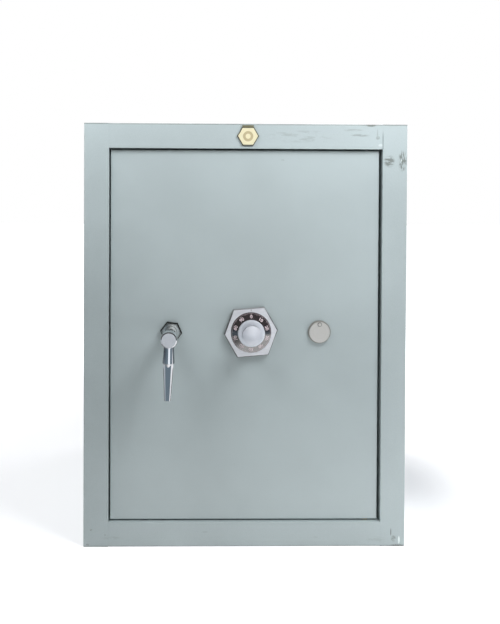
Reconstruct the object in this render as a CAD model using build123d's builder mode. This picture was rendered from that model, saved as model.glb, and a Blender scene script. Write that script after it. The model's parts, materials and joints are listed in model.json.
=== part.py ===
from build123d import *
import os
from math import cos, radians, sin

os.makedirs("parts", exist_ok=True)

# A free-standing metal safe with one door, a hanging lever, a dial and a covered keyhole.
# Sizes are in millimetres. The front faces -Y, +X is to the right and +Z is up. The origin is the
# centre of the base's underside. The door is shut and unlocked, with its bolts drawn back.

# Body
body_width = 524
body_height = 688
body_depth = 450
casing_sheet = 4
casing_bend = 6
rear_sheet = 4
rear_filling = 44
liner_sheet = 2
anchor_spacing_x = 300
anchor_spacing_y = 180
anchor_hole_radius = 7

# Front frame: flat faces, a jamb round the door and a narrower neck behind it
frame_face = 40
frame_plate = 6
frame_edge = 1.5
rebate = 10
neck_depth = 56

# Door slab and the gaps round it
door_recess = 5
gap_free = 2.4
gap_hinge = 4.5
pan_plate = 6
pan_flange = 4
pan_depth = 34
pan_edge = 1.2
back_plate_thickness = 3
seal_gap = 5.5
pan_relief = 3

# Boltwork box on the back of the door
box_sheet = 3
box_depth = 51
box_bend = 5
box_least_bend = 1
box_gap_free = 8
box_gap_hinge = 10
box_gap_end = 4
box_lip = 12
rear_cover_thickness = 3
cover_screw_rows = 4
cover_screw_radius = 2
cover_screw_head_radius = 4.5
cover_screw_head_height = 2.4

# Door pivots near the front right corners
pivot_inset = 18
pivot_setback = 12
pivot_radius = 5
pivot_reach = 30
pivot_pin_chamfer = 1
pivot_block_width = 24
pivot_block_depth = 18
pivot_washer_radius = 8.5

# Clearances
running_fit = 0.05
loose_fit = 0.3

# Places of the controls on the door's face
control_height = 350
lever_inset = 99.1
dial_x = 9
keyhole_inset = 96.5

# Badge plate on the top rail
badge_x = 2.7
badge_radius = 17.8
badge_thickness = 1.6

# Lever handle
rosette_radius = 17.9
rosette_tilt = -7
rosette_thickness = 7
rosette_chamfer = 1.8
neck_radius = 9.5
hub_radius = 12.5
hub_front = 70
hub_thickness = 19
hub_chamfer = 1.8
lever_lean = 1.2
grip_start = 9
grip_waist_radius = 7.6
grip_flare = 36
grip_flare_radius = 9.3
grip_scallop = 6
grip_scallop_inset = 1.8
grip_end = 93.5
grip_end_radius = 5.7
grip_corner_turns = (30, 60, 120, 150, 210, 240, 300, 330)
grip_corner = 0.7
lever_spindle_radius = 8
lever_spindle_socket = 22
sleeve_wall = 4
sleeve_stand_off = 3

# Crank and sliding boltwork
crank_radius = 14
crank_angle = 45
crank_thickness = 8
crank_hub_radius = 13
crank_pin_radius = 4
crank_pin_length = 14
crank_pin_proud = 1
crank_eye_radius = 7.2
yoke_play = 0.65
clip_thickness = 1.5
clip_radius = 12
bolt_radius = 11
bolt_count = 3
bolt_end_inset = 78
bolt_y = -158
bolt_tip_proud = 1
bolt_chamfer = 3
strike_clearance = 2
guide_plate_gap = 25
guide_plate_thickness = 6
bush_wall = 3
bush_flange = 2
carrier_gap = 24
carrier_thickness = 8
carrier_width = 28
carrier_overhang = 30
bolt_screw_radius = 4
bolt_screw_head_radius = 7
bolt_screw_head_height = 5
bolt_screw_depth = 15
drive_plate_thickness = 8
drive_plate_rim = 8
drive_plate_rim_above = 3.2
drive_plate_rim_below = 4.8
arm_thickness = 6
arm_height = 20
arm_rise = 94
arm_overhang = 16
stud_radius = 4
stud_head_radius = 7.5
stud_head_height = 4
stud_inset = 79
stud_lead = 45

# Fixed dogs on the hinge side
dog_height = 30
dog_thickness = 14
dog_reach = 18
dog_slot_clearance = 2
dog_slot_swing = 4

# Dial and its ring
ring_side_reach = 43.5
ring_half_height = 39
ring_flat_half = 25.4
ring_tilt = 5
ring_thickness = 7
ring_floor = 1.8
ring_chamfer = 1.5
index_mark_depth = 0.4
index_mark_gap = 2
index_mark_length = 3
dial_radius = 32.5
dial_rim_height = 5.5
dial_cone_height = 6
knob_flange_radius = 21.6
knob_flange_height = 4
knob_flange_chamfer = 1.3
knob_neck_radius = 12
knob_neck_middle = 4
knob_neck_end = 8.5
knob_foot_flare = 2
knob_radius = 15.4
knob_height = 18
knob_dome = 2.2
dial_spindle_radius = 4

# Combination lock
lock_half_width = 32
lock_drop = 28
lock_rise = 54
lock_wall = 3
lock_depth = 30
lock_cover_thickness = 3
cam_radius = 20.5
cam_thickness = 5
cam_gap = 2
wheel_pack_gap = 1
wheel_count = 3
wheel_radius = 23
wheel_thickness = 2.5
wheel_spacer_thickness = 1.3
wheel_post_radius = 5
wheel_post_flange = 9
gate_width = 6
gate_depth = 5
lock_bolt_width = 12
lock_bolt_body_width = 24
lock_bolt_body_height = 8
lock_bolt_throw = 10
lock_bolt_side_play = 0.9
lock_bolt_proud = 1
lug_width = 6
lug_clearance = 4
fence_width = 5
fence_gap = 0.4
fence_offset = 13.8
fence_pivot_radius = 2.5
fence_pivot_inset = 3

# Key lock
key_lock_half_width = 25
key_lock_depth = 22
key_lock_wall = 3
key_cover_thickness = 2.5
key_bolt_thickness = 9
key_lever_count = 4
key_lever_thickness = 1.4
key_lever_gap = 0.3
key_lever_pivot_inset = 9
key_lever_pivot_drop = 11
key_lever_bottom = 10
key_lever_rise = 8
key_lever_end = 4
key_lever_chamfer = 3
key_gate_half = 4.8
key_stump_radius = 2
key_tube_radius = 6.5

# Keyhole plate and its swinging cover
escutcheon_radius = 18.6
escutcheon_thickness = 1.5
keyhole_radius = 4.4
keyhole_slot_width = 3.4
keyhole_slot_drop = 11
keyhole_cover_radius = 17
keyhole_cover_thickness = 2.6
keyhole_cover_edge = 0.8
rivet_rise = 12.6
rivet_radius = 2
rivet_head_radius = 3.1
rivet_head_height = 1.3

# Shelf on slotted strips
strip_width = 16
strip_depth = 4
strip_sheet = 1.2
strip_inset = 45
strip_end_gap = 24
strip_slot_width = 8
strip_slot_height = 3.6
strip_pitch = 25
lower_slot_count = 10
shelf_depth = 270
shelf_sheet = 2
shelf_hem = 18
clip_tongue_width = 10
clip_tongue_length = 14
clip_tongue_thickness = 3

# Planes that the sizes above give
front_y = -body_depth / 2
rear_y = body_depth / 2
half_width = body_width / 2
casing_front = front_y + frame_plate
casing_back = rear_y - rear_sheet
open_x = half_width - frame_face
open_low = frame_face
open_top = body_height - frame_face
neck_x = open_x - rebate
neck_low = open_low + rebate
neck_top = open_top - rebate
door_y = front_y + door_recess
pan_back = door_y + pan_depth
step_y = pan_back + seal_gap
step_back = step_y + frame_plate
neck_back = step_back + neck_depth
cavity_back = casing_back - rear_filling - liner_sheet
door_left = gap_free - open_x
door_right = open_x - gap_hinge
door_low = open_low + gap_free
door_top = open_top - gap_free
box_left = box_gap_free - neck_x
box_right = neck_x - box_gap_hinge
box_low = neck_low + box_gap_end
box_top = neck_top - box_gap_end
box_back = pan_back + box_depth
pivot_x = door_right - pivot_inset
pivot_y = door_y + pivot_setback
bolt_throw = 2 * crank_radius * sin(radians(crank_angle))
bolt_tip = box_left - bolt_tip_proud
lever_x = door_left + lever_inset
keyhole_x = door_right - keyhole_inset
bolt_reach = min(control_height - box_low, box_top - control_height) - bolt_end_inset
bolt_pitch = 2 * bolt_reach / (bolt_count - 1)
bolt_heights = [control_height - bolt_reach + n * bolt_pitch for n in range(bolt_count)]
lock_top = control_height + lock_rise


def facing(x, z, y):
    """A plane at depth y that faces the front, with local x to the right and local y up."""
    return Plane(origin=(x, y, z), x_dir=(1, 0, 0), z_dir=(0, -1, 0))


def sideways(x, y, z):
    """A plane that faces +X, with local x to the rear and local y up."""
    return Plane(origin=(x, y, z), x_dir=(0, 1, 0), z_dir=(1, 0, 0))


def block(x, y, z, mode=Mode.ADD):
    """A block between two limits on each axis, in the piece in hand."""
    with Locations(((x[0] + x[1]) / 2, (y[0] + y[1]) / 2, (z[0] + z[1]) / 2)):
        Box(x[1] - x[0], y[1] - y[0], z[1] - z[0], mode=mode)


def rod(x, z, y, radius, mode=Mode.ADD):
    """A round bar along the depth between two values of y, in the piece in hand."""
    with BuildSketch(facing(x, z, y[1])) as circle:
        Circle(radius)
    extrude(circle.sketch, amount=y[1] - y[0], mode=mode)


def cross_rod(x, y, z, radius, mode=Mode.ADD):
    """A round bar along the width between two values of x, in the piece in hand."""
    with BuildSketch(sideways(x[0], y, z)) as circle:
        Circle(radius)
    extrude(circle.sketch, amount=x[1] - x[0], mode=mode)


def upright_rod(x, y, z, radius, mode=Mode.ADD):
    """A round bar along the height between two values of z, in the piece in hand."""
    with BuildSketch(Plane.XY.offset(z[0])) as circle:
        with Locations((x, y)):
            Circle(radius)
    extrude(circle.sketch, amount=z[1] - z[0], mode=mode)


def turned(x, z, y, outline):
    """A piece turned about an axis along the depth: the outline is (distance in front of y, radius)."""
    with BuildSketch(Plane(origin=(x, y, z), x_dir=(0, -1, 0), z_dir=(-1, 0, 0))) as profile:
        with BuildLine():
            Polyline(*outline, close=True)
        make_face()
    revolve(profile.sketch, axis=Axis((x, y, z), (0, -1, 0)))


# Outer casing: one wrap of sheet, open at the front and the rear
anchor_y = (neck_back + cavity_back) / 2


def anchor_holes(z):
    """Cuts the four floor-fixing holes between two heights in the piece in hand."""
    with BuildSketch(Plane.XY.offset(z[0])) as holes:
        with Locations((0, anchor_y)):
            with GridLocations(anchor_spacing_x, anchor_spacing_y, 2, 2):
                Circle(anchor_hole_radius)
    extrude(holes.sketch, amount=z[1] - z[0], mode=Mode.SUBTRACT)


with BuildPart() as outer_casing:
    with BuildSketch(facing(0, body_height / 2, casing_back)):
        RectangleRounded(body_width, body_height, casing_bend)
        RectangleRounded(
            body_width - 2 * casing_sheet,
            body_height - 2 * casing_sheet,
            casing_bend - casing_sheet,
            mode=Mode.SUBTRACT,
        )
    extrude(amount=casing_back - casing_front)
    anchor_holes((0, casing_sheet))
outer_casing.part.label = "outer_casing"
export_step(outer_casing.part, "parts/outer_casing.step")

with BuildPart() as rear_plate:
    with BuildSketch(facing(0, body_height / 2, rear_y)):
        RectangleRounded(body_width, body_height, casing_bend)
    extrude(amount=rear_sheet)
rear_plate.part.label = "rear_plate"
export_step(rear_plate.part, "parts/rear_plate.step")

# Front frame: full-height stiles, with the rails butted between them
with BuildPart() as frame_left_stile:
    block((-half_width, -open_x), (front_y, casing_front), (0, body_height))
    outer_edges = frame_left_stile.edges().filter_by(Axis.Z).group_by(Axis.X)[0].group_by(Axis.Y)[0]
    fillet(outer_edges, frame_edge)
    jamb_height = (open_low - frame_plate, open_top + frame_plate)
    block((-open_x - frame_plate, -open_x), (casing_front, step_y), jamb_height)
    block((-open_x - frame_plate, -neck_x), (step_y, step_back), jamb_height)
frame_left_stile.part.label = "frame_left_stile"
export_step(frame_left_stile.part, "parts/frame_left_stile.step")

with BuildPart() as frame_right_stile:
    mirror(frame_left_stile.part, about=Plane.YZ)
frame_right_stile.part.label = "frame_right_stile"
export_step(frame_right_stile.part, "parts/frame_right_stile.step")

with BuildPart() as frame_top_rail:
    block((-open_x, open_x), (front_y, casing_front), (open_top, body_height))
    outer_edges = frame_top_rail.edges().filter_by(Axis.X).group_by(Axis.Z)[-1].group_by(Axis.Y)[0]
    fillet(outer_edges, frame_edge)
    block((-open_x, open_x), (casing_front, step_y), (open_top, open_top + frame_plate))
    block((-neck_x, neck_x), (step_y, step_back), (neck_top, open_top + frame_plate))
    block((-neck_x, neck_x), (step_back, neck_back), (neck_top, neck_top + frame_plate))
    upright_rod(pivot_x, pivot_y, (open_top, open_top + frame_plate), pivot_radius, Mode.SUBTRACT)
frame_top_rail.part.label = "frame_top_rail"
export_step(frame_top_rail.part, "parts/frame_top_rail.step")

with BuildPart() as frame_bottom_rail:
    mirror(frame_top_rail.part, about=Plane.XY.offset(body_height / 2))
frame_bottom_rail.part.label = "frame_bottom_rail"
export_step(frame_bottom_rail.part, "parts/frame_bottom_rail.step")

# Neck plates: the left one takes the bolts, the right one takes the fixed dogs
neck_plate_height = (neck_low - frame_plate, neck_top + frame_plate)


def bolt_windows(x):
    """Cuts the square windows that the bolts enter between two values of x in the piece in hand."""
    half = bolt_radius + strike_clearance
    for height in bolt_heights:
        block(x, (bolt_y - half, bolt_y + half), (height - half, height + half), Mode.SUBTRACT)


with BuildPart() as strike_plate:
    block((-neck_x - frame_plate, -neck_x), (step_back, neck_back), neck_plate_height)
    bolt_windows((-neck_x - frame_plate, -neck_x))
strike_plate.part.label = "strike_plate"
export_step(strike_plate.part, "parts/strike_plate.step")

dog_y = (bolt_y - dog_thickness / 2, bolt_y + dog_thickness / 2)
dog_slot_y = (dog_y[0] - dog_slot_clearance, dog_y[1] + dog_slot_swing)


def dog_slots(x):
    """Cuts the room for the fixed dogs between two values of x in the piece in hand."""
    for height in bolt_heights:
        half = dog_height / 2 + dog_slot_clearance
        block(x, dog_slot_y, (height - half, height + half), Mode.SUBTRACT)


with BuildPart() as dog_plate:
    block((neck_x, neck_x + frame_plate), (step_back, neck_back), neck_plate_height)
    dog_slots((neck_x, neck_x + frame_plate))
dog_plate.part.label = "dog_plate"
export_step(dog_plate.part, "parts/dog_plate.step")

# Inner liner: a wrap and a back, which stand against the neck's rear edges
liner_x = neck_x + liner_sheet
liner_z = (neck_low - liner_sheet, neck_top + liner_sheet)

with BuildPart() as inner_liner:
    block((-liner_x, liner_x), (neck_back, cavity_back), liner_z)
    block((-neck_x, neck_x), (neck_back, cavity_back), (neck_low, neck_top), Mode.SUBTRACT)
    anchor_holes((liner_z[0], neck_low))
inner_liner.part.label = "inner_liner"
export_step(inner_liner.part, "parts/inner_liner.step")

with BuildPart() as liner_back:
    block((-liner_x, liner_x), (cavity_back, cavity_back + liner_sheet), liner_z)
liner_back.part.label = "liner_back"
export_step(liner_back.part, "parts/liner_back.step")

# Wall filling: cast between the casing and the liner, round the frame, with pockets for what
# reaches through the neck
bolt_pocket_depth = bolt_throw + bolt_tip_proud + strike_clearance - box_gap_free - frame_plate
dog_pocket_depth = dog_reach - box_gap_hinge + loose_fit

with BuildPart() as wall_filling:
    with BuildSketch(facing(0, body_height / 2, casing_back)):
        RectangleRounded(
            body_width - 2 * casing_sheet,
            body_height - 2 * casing_sheet,
            casing_bend - casing_sheet,
        )
    extrude(amount=casing_back - casing_front)
    jamb_x = open_x + frame_plate
    block((-jamb_x, jamb_x), (casing_front, step_back), jamb_height, Mode.SUBTRACT)
    neck_outer_x = neck_x + frame_plate
    block((-neck_outer_x, neck_outer_x), (step_back, neck_back), neck_plate_height, Mode.SUBTRACT)
    liner_span = (neck_back, cavity_back + liner_sheet)
    block((-liner_x, liner_x), liner_span, liner_z, Mode.SUBTRACT)
    bolt_windows((-neck_outer_x - bolt_pocket_depth, -neck_outer_x))
    dog_slots((neck_outer_x, neck_outer_x + dog_pocket_depth))
    anchor_holes((casing_sheet, liner_z[0]))
wall_filling.part.label = "wall_filling"
export_step(wall_filling.part, "parts/wall_filling.step")

# Bare hexagonal badge plate on the top rail
with BuildPart() as badge_plate:
    with BuildSketch(facing(badge_x, (open_top + body_height) / 2, front_y)):
        RegularPolygon(badge_radius, 6)
    extrude(amount=badge_thickness)
badge_plate.part.label = "badge_plate"
export_step(badge_plate.part, "parts/badge_plate.step")

# Door pivots: pins set in the rails, which turn in blocks inside the door's corners
with BuildPart() as pivot_pins:
    pin_span = (open_low - frame_plate, door_low + pan_flange + pivot_reach - pivot_radius)
    upright_rod(pivot_x, pivot_y, pin_span, pivot_radius)
    chamfer(pivot_pins.edges().sort_by(Axis.Z)[-1], pivot_pin_chamfer)
    mirror(pivot_pins.part, about=Plane.XY.offset(body_height / 2))
pivot_pins.part.label = "pivot_pins"
export_step(pivot_pins.part, "parts/pivot_pins.step")

with BuildPart() as thrust_washer:
    upright_rod(pivot_x, pivot_y, (open_low, door_low), pivot_washer_radius)
    upright_rod(pivot_x, pivot_y, (open_low, door_low), pivot_radius + running_fit, Mode.SUBTRACT)
thrust_washer.part.label = "thrust_washer"
export_step(thrust_washer.part, "parts/thrust_washer.step")

# Slotted strips on the liner's side walls, with clips that carry the shelf
strip_z = (neck_low + strip_end_gap, neck_top - strip_end_gap)
strip_places = (neck_back + strip_inset, cavity_back - strip_inset)
slot_count = int((strip_z[1] - strip_z[0]) / strip_pitch)
slot_heights = [strip_z[0] + (n + 0.5) * strip_pitch for n in range(slot_count)]
clip_height = slot_heights[min(lower_slot_count, slot_count - 1)]

with BuildPart() as shelf_strips:
    for place in strip_places:
        wide = (place - strip_width / 2, place + strip_width / 2)
        inside = (wide[0] + strip_sheet, wide[1] - strip_sheet)
        block((-neck_x, strip_depth - neck_x), wide, strip_z)
        block((-neck_x, strip_depth - strip_sheet - neck_x), inside, strip_z, Mode.SUBTRACT)
        with BuildSketch(sideways(-neck_x, place, 0)) as slots:
            for height in slot_heights:
                with Locations((0, height)):
                    Rectangle(strip_slot_width, strip_slot_height)
        extrude(slots.sketch, amount=strip_depth, mode=Mode.SUBTRACT)
    mirror(shelf_strips.part, about=Plane.YZ)
shelf_strips.part.label = "shelf_strips"
export_step(shelf_strips.part, "parts/shelf_strips.step")

with BuildPart() as shelf_clips:
    hook_half = strip_slot_width / 2 - loose_fit
    for place in strip_places:
        thick = (clip_height - clip_tongue_thickness / 2, clip_height + clip_tongue_thickness / 2)
        tongue = (strip_depth - neck_x, strip_depth + clip_tongue_length - neck_x)
        block(tongue, (place - clip_tongue_width / 2, place + clip_tongue_width / 2), thick)
        hook = (strip_depth - neck_x - 2 * strip_sheet, strip_depth - neck_x)
        block(hook, (place - hook_half, place + hook_half), thick)
    mirror(shelf_clips.part, about=Plane.YZ)
shelf_clips.part.label = "shelf_clips"
export_step(shelf_clips.part, "parts/shelf_clips.step")

with BuildPart() as shelf:
    shelf_x = neck_x - strip_depth - 2 * loose_fit
    shelf_low = clip_height + clip_tongue_thickness / 2
    shelf_y = (cavity_back - loose_fit - shelf_depth, cavity_back - loose_fit)
    block((-shelf_x, shelf_x), shelf_y, (shelf_low, shelf_low + shelf_hem))
    fillet(shelf.edges().filter_by(Axis.X).group_by(Axis.Z)[-1], shelf_sheet)
    inner_y = (shelf_y[0] + shelf_sheet, shelf_y[1] - shelf_sheet)
    inner_x = shelf_x - shelf_sheet
    inner_top = shelf_low + shelf_hem - shelf_sheet
    block((-inner_x, inner_x), inner_y, (shelf_low, inner_top), Mode.SUBTRACT)
shelf.part.label = "shelf"
export_step(shelf.part, "parts/shelf.step")

# Door: a pressed front pan, its filling and the plate that closes it
lever_sleeve_radius = lever_spindle_radius + running_fit + sleeve_wall
dial_sleeve_radius = dial_spindle_radius + running_fit + sleeve_wall
key_sleeve_radius = key_tube_radius + sleeve_wall / 2
pan_inside_x = (door_left + pan_flange, door_right - pan_flange)
pan_inside_z = (door_low + pan_flange, door_top - pan_flange)
pan_inside_y = door_y + pan_plate
back_plate_y = (pan_back - back_plate_thickness, pan_back)
pivot_block_x = (pan_inside_x[1] - pivot_block_width, pan_inside_x[1])
pivot_block_y = (pan_inside_y, pan_inside_y + pivot_block_depth)
pivot_block_spans = (
    (pan_inside_z[0], pan_inside_z[0] + pivot_reach),
    (pan_inside_z[1] - pivot_reach, pan_inside_z[1]),
)


def sleeve_holes(y):
    """Cuts the holes for the three sleeves between two depths in the piece in hand."""
    rod(lever_x, control_height, y, lever_sleeve_radius, Mode.SUBTRACT)
    rod(dial_x, control_height, y, dial_sleeve_radius, Mode.SUBTRACT)
    rod(keyhole_x, control_height, y, key_sleeve_radius, Mode.SUBTRACT)


with BuildPart() as front_pan:
    block((door_left, door_right), (door_y, pan_back), (door_low, door_top))
    fillet(front_pan.faces().sort_by(Axis.Y)[0].edges(), pan_edge)
    rear_edges = front_pan.faces().sort_by(Axis.Y)[-1].edges().filter_by(Axis.Z)
    chamfer(rear_edges.sort_by(Axis.X)[-1], pan_relief)
    block(pan_inside_x, (pan_inside_y, pan_back), pan_inside_z, Mode.SUBTRACT)
    pin_hole = pivot_radius + loose_fit
    upright_rod(pivot_x, pivot_y, (door_low, pan_inside_z[0]), pin_hole, Mode.SUBTRACT)
    upright_rod(pivot_x, pivot_y, (pan_inside_z[1], door_top), pin_hole, Mode.SUBTRACT)
    sleeve_holes((door_y, pan_inside_y))
front_pan.part.label = "front_pan"
export_step(front_pan.part, "parts/front_pan.step")

with BuildPart() as pivot_blocks:
    for span in pivot_block_spans:
        block(pivot_block_x, pivot_block_y, span)
        upright_rod(pivot_x, pivot_y, span, pivot_radius + running_fit, Mode.SUBTRACT)
pivot_blocks.part.label = "pivot_blocks"
export_step(pivot_blocks.part, "parts/pivot_blocks.step")

with BuildPart() as door_filling:
    filling_y = (pan_inside_y, back_plate_y[0])
    block(pan_inside_x, filling_y, pan_inside_z)
    for span in pivot_block_spans:
        block(pivot_block_x, pivot_block_y, span, Mode.SUBTRACT)
    sleeve_holes(filling_y)
door_filling.part.label = "door_filling"
export_step(door_filling.part, "parts/door_filling.step")

with BuildPart() as door_back_plate:
    block(pan_inside_x, back_plate_y, pan_inside_z)
    sleeve_holes(back_plate_y)
door_back_plate.part.label = "door_back_plate"
export_step(door_back_plate.part, "parts/door_back_plate.step")

# Sleeves that carry the lever spindle, the dial spindle and the key through the door
with BuildPart() as spindle_sleeves:
    lever_sleeve_y = (door_y, pan_back + sleeve_stand_off)
    rod(lever_x, control_height, lever_sleeve_y, lever_sleeve_radius)
    bore = lever_spindle_radius + running_fit
    rod(lever_x, control_height, lever_sleeve_y, bore, Mode.SUBTRACT)
    rod(dial_x, control_height, (door_y, pan_back), dial_sleeve_radius)
    bore = dial_spindle_radius + running_fit
    rod(dial_x, control_height, (door_y, pan_back), bore, Mode.SUBTRACT)
spindle_sleeves.part.label = "spindle_sleeves"
export_step(spindle_sleeves.part, "parts/spindle_sleeves.step")

with BuildPart() as keyhole_tube:
    rod(keyhole_x, control_height, (door_y, pan_back), key_sleeve_radius)
    rod(keyhole_x, control_height, (door_y, pan_back), key_tube_radius, Mode.SUBTRACT)
keyhole_tube.part.label = "keyhole_tube"
export_step(keyhole_tube.part, "parts/keyhole_tube.step")

# Boltwork box: a frame of folded sheet with a lip that the rear cover is screwed to
box_centre_x = (box_left + box_right) / 2
box_centre_z = (box_low + box_top) / 2
box_width = box_right - box_left
box_height = box_top - box_low


def box_outline(inset):
    """The box's outline, drawn in by an inset, in the sketch in hand."""
    bend = max(box_bend - inset, box_least_bend)
    return RectangleRounded(box_width - 2 * inset, box_height - 2 * inset, bend, mode=Mode.PRIVATE)


with BuildPart() as boltwork_box:
    with BuildSketch(facing(box_centre_x, box_centre_z, box_back)):
        add(box_outline(0))
    extrude(amount=box_depth)
    with BuildSketch(facing(box_centre_x, box_centre_z, box_back - box_sheet)):
        add(box_outline(box_sheet))
    extrude(amount=box_depth - box_sheet, mode=Mode.SUBTRACT)
    with BuildSketch(facing(box_centre_x, box_centre_z, box_back)):
        add(box_outline(box_sheet + box_lip))
    extrude(amount=box_sheet, mode=Mode.SUBTRACT)
    for height in bolt_heights:
        wall = (box_left, box_left + box_sheet)
        cross_rod(wall, bolt_y, height, bolt_radius + strike_clearance, Mode.SUBTRACT)
    screw_inset = box_sheet + box_lip / 2
    screw_pitch = (box_height - 2 * screw_inset) / (cover_screw_rows - 1)
    with BuildSketch(facing(box_centre_x, box_centre_z, box_back)):
        with GridLocations(box_width - 2 * screw_inset, screw_pitch, 2, cover_screw_rows):
            Circle(cover_screw_radius)
    extrude(amount=box_sheet, mode=Mode.SUBTRACT)
boltwork_box.part.label = "boltwork_box"
export_step(boltwork_box.part, "parts/boltwork_box.step")

with BuildPart() as rear_cover:
    with BuildSketch(facing(box_centre_x, box_centre_z, box_back + rear_cover_thickness)):
        add(box_outline(0))
        with GridLocations(box_width - 2 * screw_inset, screw_pitch, 2, cover_screw_rows):
            Circle(cover_screw_radius + loose_fit, mode=Mode.SUBTRACT)
    extrude(amount=rear_cover_thickness)
rear_cover.part.label = "rear_cover"
export_step(rear_cover.part, "parts/rear_cover.step")

with BuildPart() as hinge_dogs:
    for height in bolt_heights:
        span = (height - dog_height / 2, height + dog_height / 2)
        block((box_right, box_right + dog_reach), dog_y, span)
    chamfer(hinge_dogs.faces().filter_by(Axis.X).group_by(Axis.X)[-1].edges(), dog_slot_clearance)
hinge_dogs.part.label = "hinge_dogs"
export_step(hinge_dogs.part, "parts/hinge_dogs.step")

# Lever handle: a hexagonal rosette, a round neck and hub, and a hanging faceted grip
hub_y = (door_y - hub_front, door_y - hub_front + hub_thickness)
grip_y = (hub_y[0] + hub_y[1]) / 2
lean = radians(lever_lean)


def across_grip(distance):
    """The plane across the grip at a distance below the lever's axis."""
    return Plane(
        origin=(lever_x - distance * sin(lean), grip_y, control_height - distance * cos(lean)),
        x_dir=(cos(lean), 0, -sin(lean)),
        z_dir=(-sin(lean), 0, -cos(lean)),
    )


def grip_corners(radius):
    """Corners of four broad flats with narrower ones between them, all on one circle."""
    return [(radius * cos(radians(turn)), radius * sin(radians(turn))) for turn in grip_corner_turns]


with BuildPart() as lever_rosette:
    with BuildSketch(facing(lever_x, control_height, door_y)):
        RegularPolygon(rosette_radius, 6, rotation=rosette_tilt)
        Circle(neck_radius + loose_fit, mode=Mode.SUBTRACT)
    extrude(amount=rosette_thickness)
    front_edges = lever_rosette.faces().sort_by(Axis.Y)[0].edges().filter_by(GeomType.LINE)
    chamfer(front_edges, rosette_chamfer)
lever_rosette.part.label = "lever_rosette"
export_step(lever_rosette.part, "parts/lever_rosette.step")

with BuildPart() as lever_handle:
    rod(lever_x, control_height, hub_y, hub_radius)
    chamfer(lever_handle.edges().filter_by(GeomType.CIRCLE), hub_chamfer)
    rod(lever_x, control_height, (hub_y[1], door_y - loose_fit), neck_radius)
    with BuildSketch(across_grip(grip_start)):
        Circle(grip_waist_radius)
    with BuildSketch(across_grip(grip_flare)):
        Circle(grip_flare_radius)
    with BuildSketch(across_grip(grip_flare + grip_scallop)):
        Circle(grip_flare_radius - grip_scallop_inset)
    loft(ruled=True)
    with BuildSketch(across_grip(grip_flare)) as upper_section:
        Polygon(*grip_corners(grip_flare_radius))
        fillet(upper_section.vertices(), grip_corner)
    with BuildSketch(across_grip(grip_end)) as lower_section:
        Polygon(*grip_corners(grip_end_radius))
        fillet(lower_section.vertices(), grip_corner * grip_end_radius / grip_flare_radius)
    loft(ruled=True)
    tip_edges = lever_handle.faces().sort_by(Axis.Z)[0].edges()
    chamfer(tip_edges, grip_corner / 2)
    socket = (door_y - lever_spindle_socket, door_y - loose_fit)
    rod(lever_x, control_height, socket, lever_spindle_radius, Mode.SUBTRACT)
lever_handle.part.label = "lever_handle"
export_step(lever_handle.part, "parts/lever_handle.step")

sleeve_end = pan_back + sleeve_stand_off
clip_y = (sleeve_end + loose_fit, sleeve_end + loose_fit + clip_thickness)
crank_y = (clip_y[1] + loose_fit, clip_y[1] + loose_fit + crank_thickness)

with BuildPart() as lever_spindle:
    rod(lever_x, control_height, (door_y - lever_spindle_socket, crank_y[1]), lever_spindle_radius)
lever_spindle.part.label = "lever_spindle"
export_step(lever_spindle.part, "parts/lever_spindle.step")

with BuildPart() as spindle_clip:
    rod(lever_x, control_height, clip_y, clip_radius)
    rod(lever_x, control_height, clip_y, lever_spindle_radius, Mode.SUBTRACT)
spindle_clip.part.label = "spindle_clip"
export_step(spindle_clip.part, "parts/spindle_clip.step")

pin_x = crank_radius * sin(radians(crank_angle))
pin_z = -crank_radius * cos(radians(crank_angle))

with BuildPart() as crank:
    with BuildSketch(facing(lever_x, control_height, crank_y[1])) as crank_outline:
        Circle(crank_hub_radius)
        with Locations((pin_x, pin_z)):
            Circle(crank_eye_radius)
        make_hull()
        Circle(lever_spindle_radius, mode=Mode.SUBTRACT)
    extrude(amount=crank_thickness)
    pin_y = (crank_y[1], crank_y[1] + crank_pin_length)
    rod(lever_x + pin_x, control_height + pin_z, pin_y, crank_pin_radius)
crank.part.label = "crank"
export_step(crank.part, "parts/crank.step")

# Sliding boltwork: round bolts on a carrier, driven by the crank pin in an upright slot
guide_x = (box_left + guide_plate_gap, box_left + guide_plate_gap + guide_plate_thickness)
carrier_x = (guide_x[1] + carrier_gap, guide_x[1] + carrier_gap + carrier_thickness)
carrier_y = (bolt_y - carrier_width / 2, bolt_y + carrier_width / 2)
carrier_z = (bolt_heights[0] - carrier_overhang, bolt_heights[-1] + carrier_overhang)

with BuildPart() as guide_plate:
    guide_y = (pan_back, box_back - 2 * box_sheet)
    block(guide_x, guide_y, (box_low + box_sheet, box_top - box_sheet))
    for height in bolt_heights:
        cross_rod(guide_x, bolt_y, height, bolt_radius + running_fit + bush_wall, Mode.SUBTRACT)
guide_plate.part.label = "guide_plate"
export_step(guide_plate.part, "parts/guide_plate.step")

with BuildPart() as bolt_bushes:
    for height in bolt_heights:
        bush_outer = bolt_radius + running_fit + bush_wall
        cross_rod(guide_x, bolt_y, height, bush_outer)
        flange = (guide_x[0] - bush_flange, guide_x[0])
        cross_rod(flange, bolt_y, height, bush_outer + bush_wall)
        span = (flange[0], guide_x[1])
        cross_rod(span, bolt_y, height, bolt_radius + running_fit, Mode.SUBTRACT)
bolt_bushes.part.label = "bolt_bushes"
export_step(bolt_bushes.part, "parts/bolt_bushes.step")

with BuildPart() as locking_bolts:
    for height in bolt_heights:
        cross_rod((bolt_tip, carrier_x[0]), bolt_y, height, bolt_radius)
    chamfer(locking_bolts.faces().filter_by(Axis.X).group_by(Axis.X)[0].edges(), bolt_chamfer)
    for height in bolt_heights:
        tapped = (carrier_x[0] - bolt_screw_depth, carrier_x[0])
        cross_rod(tapped, bolt_y, height, bolt_screw_radius, Mode.SUBTRACT)
locking_bolts.part.label = "locking_bolts"
export_step(locking_bolts.part, "parts/locking_bolts.step")

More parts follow.
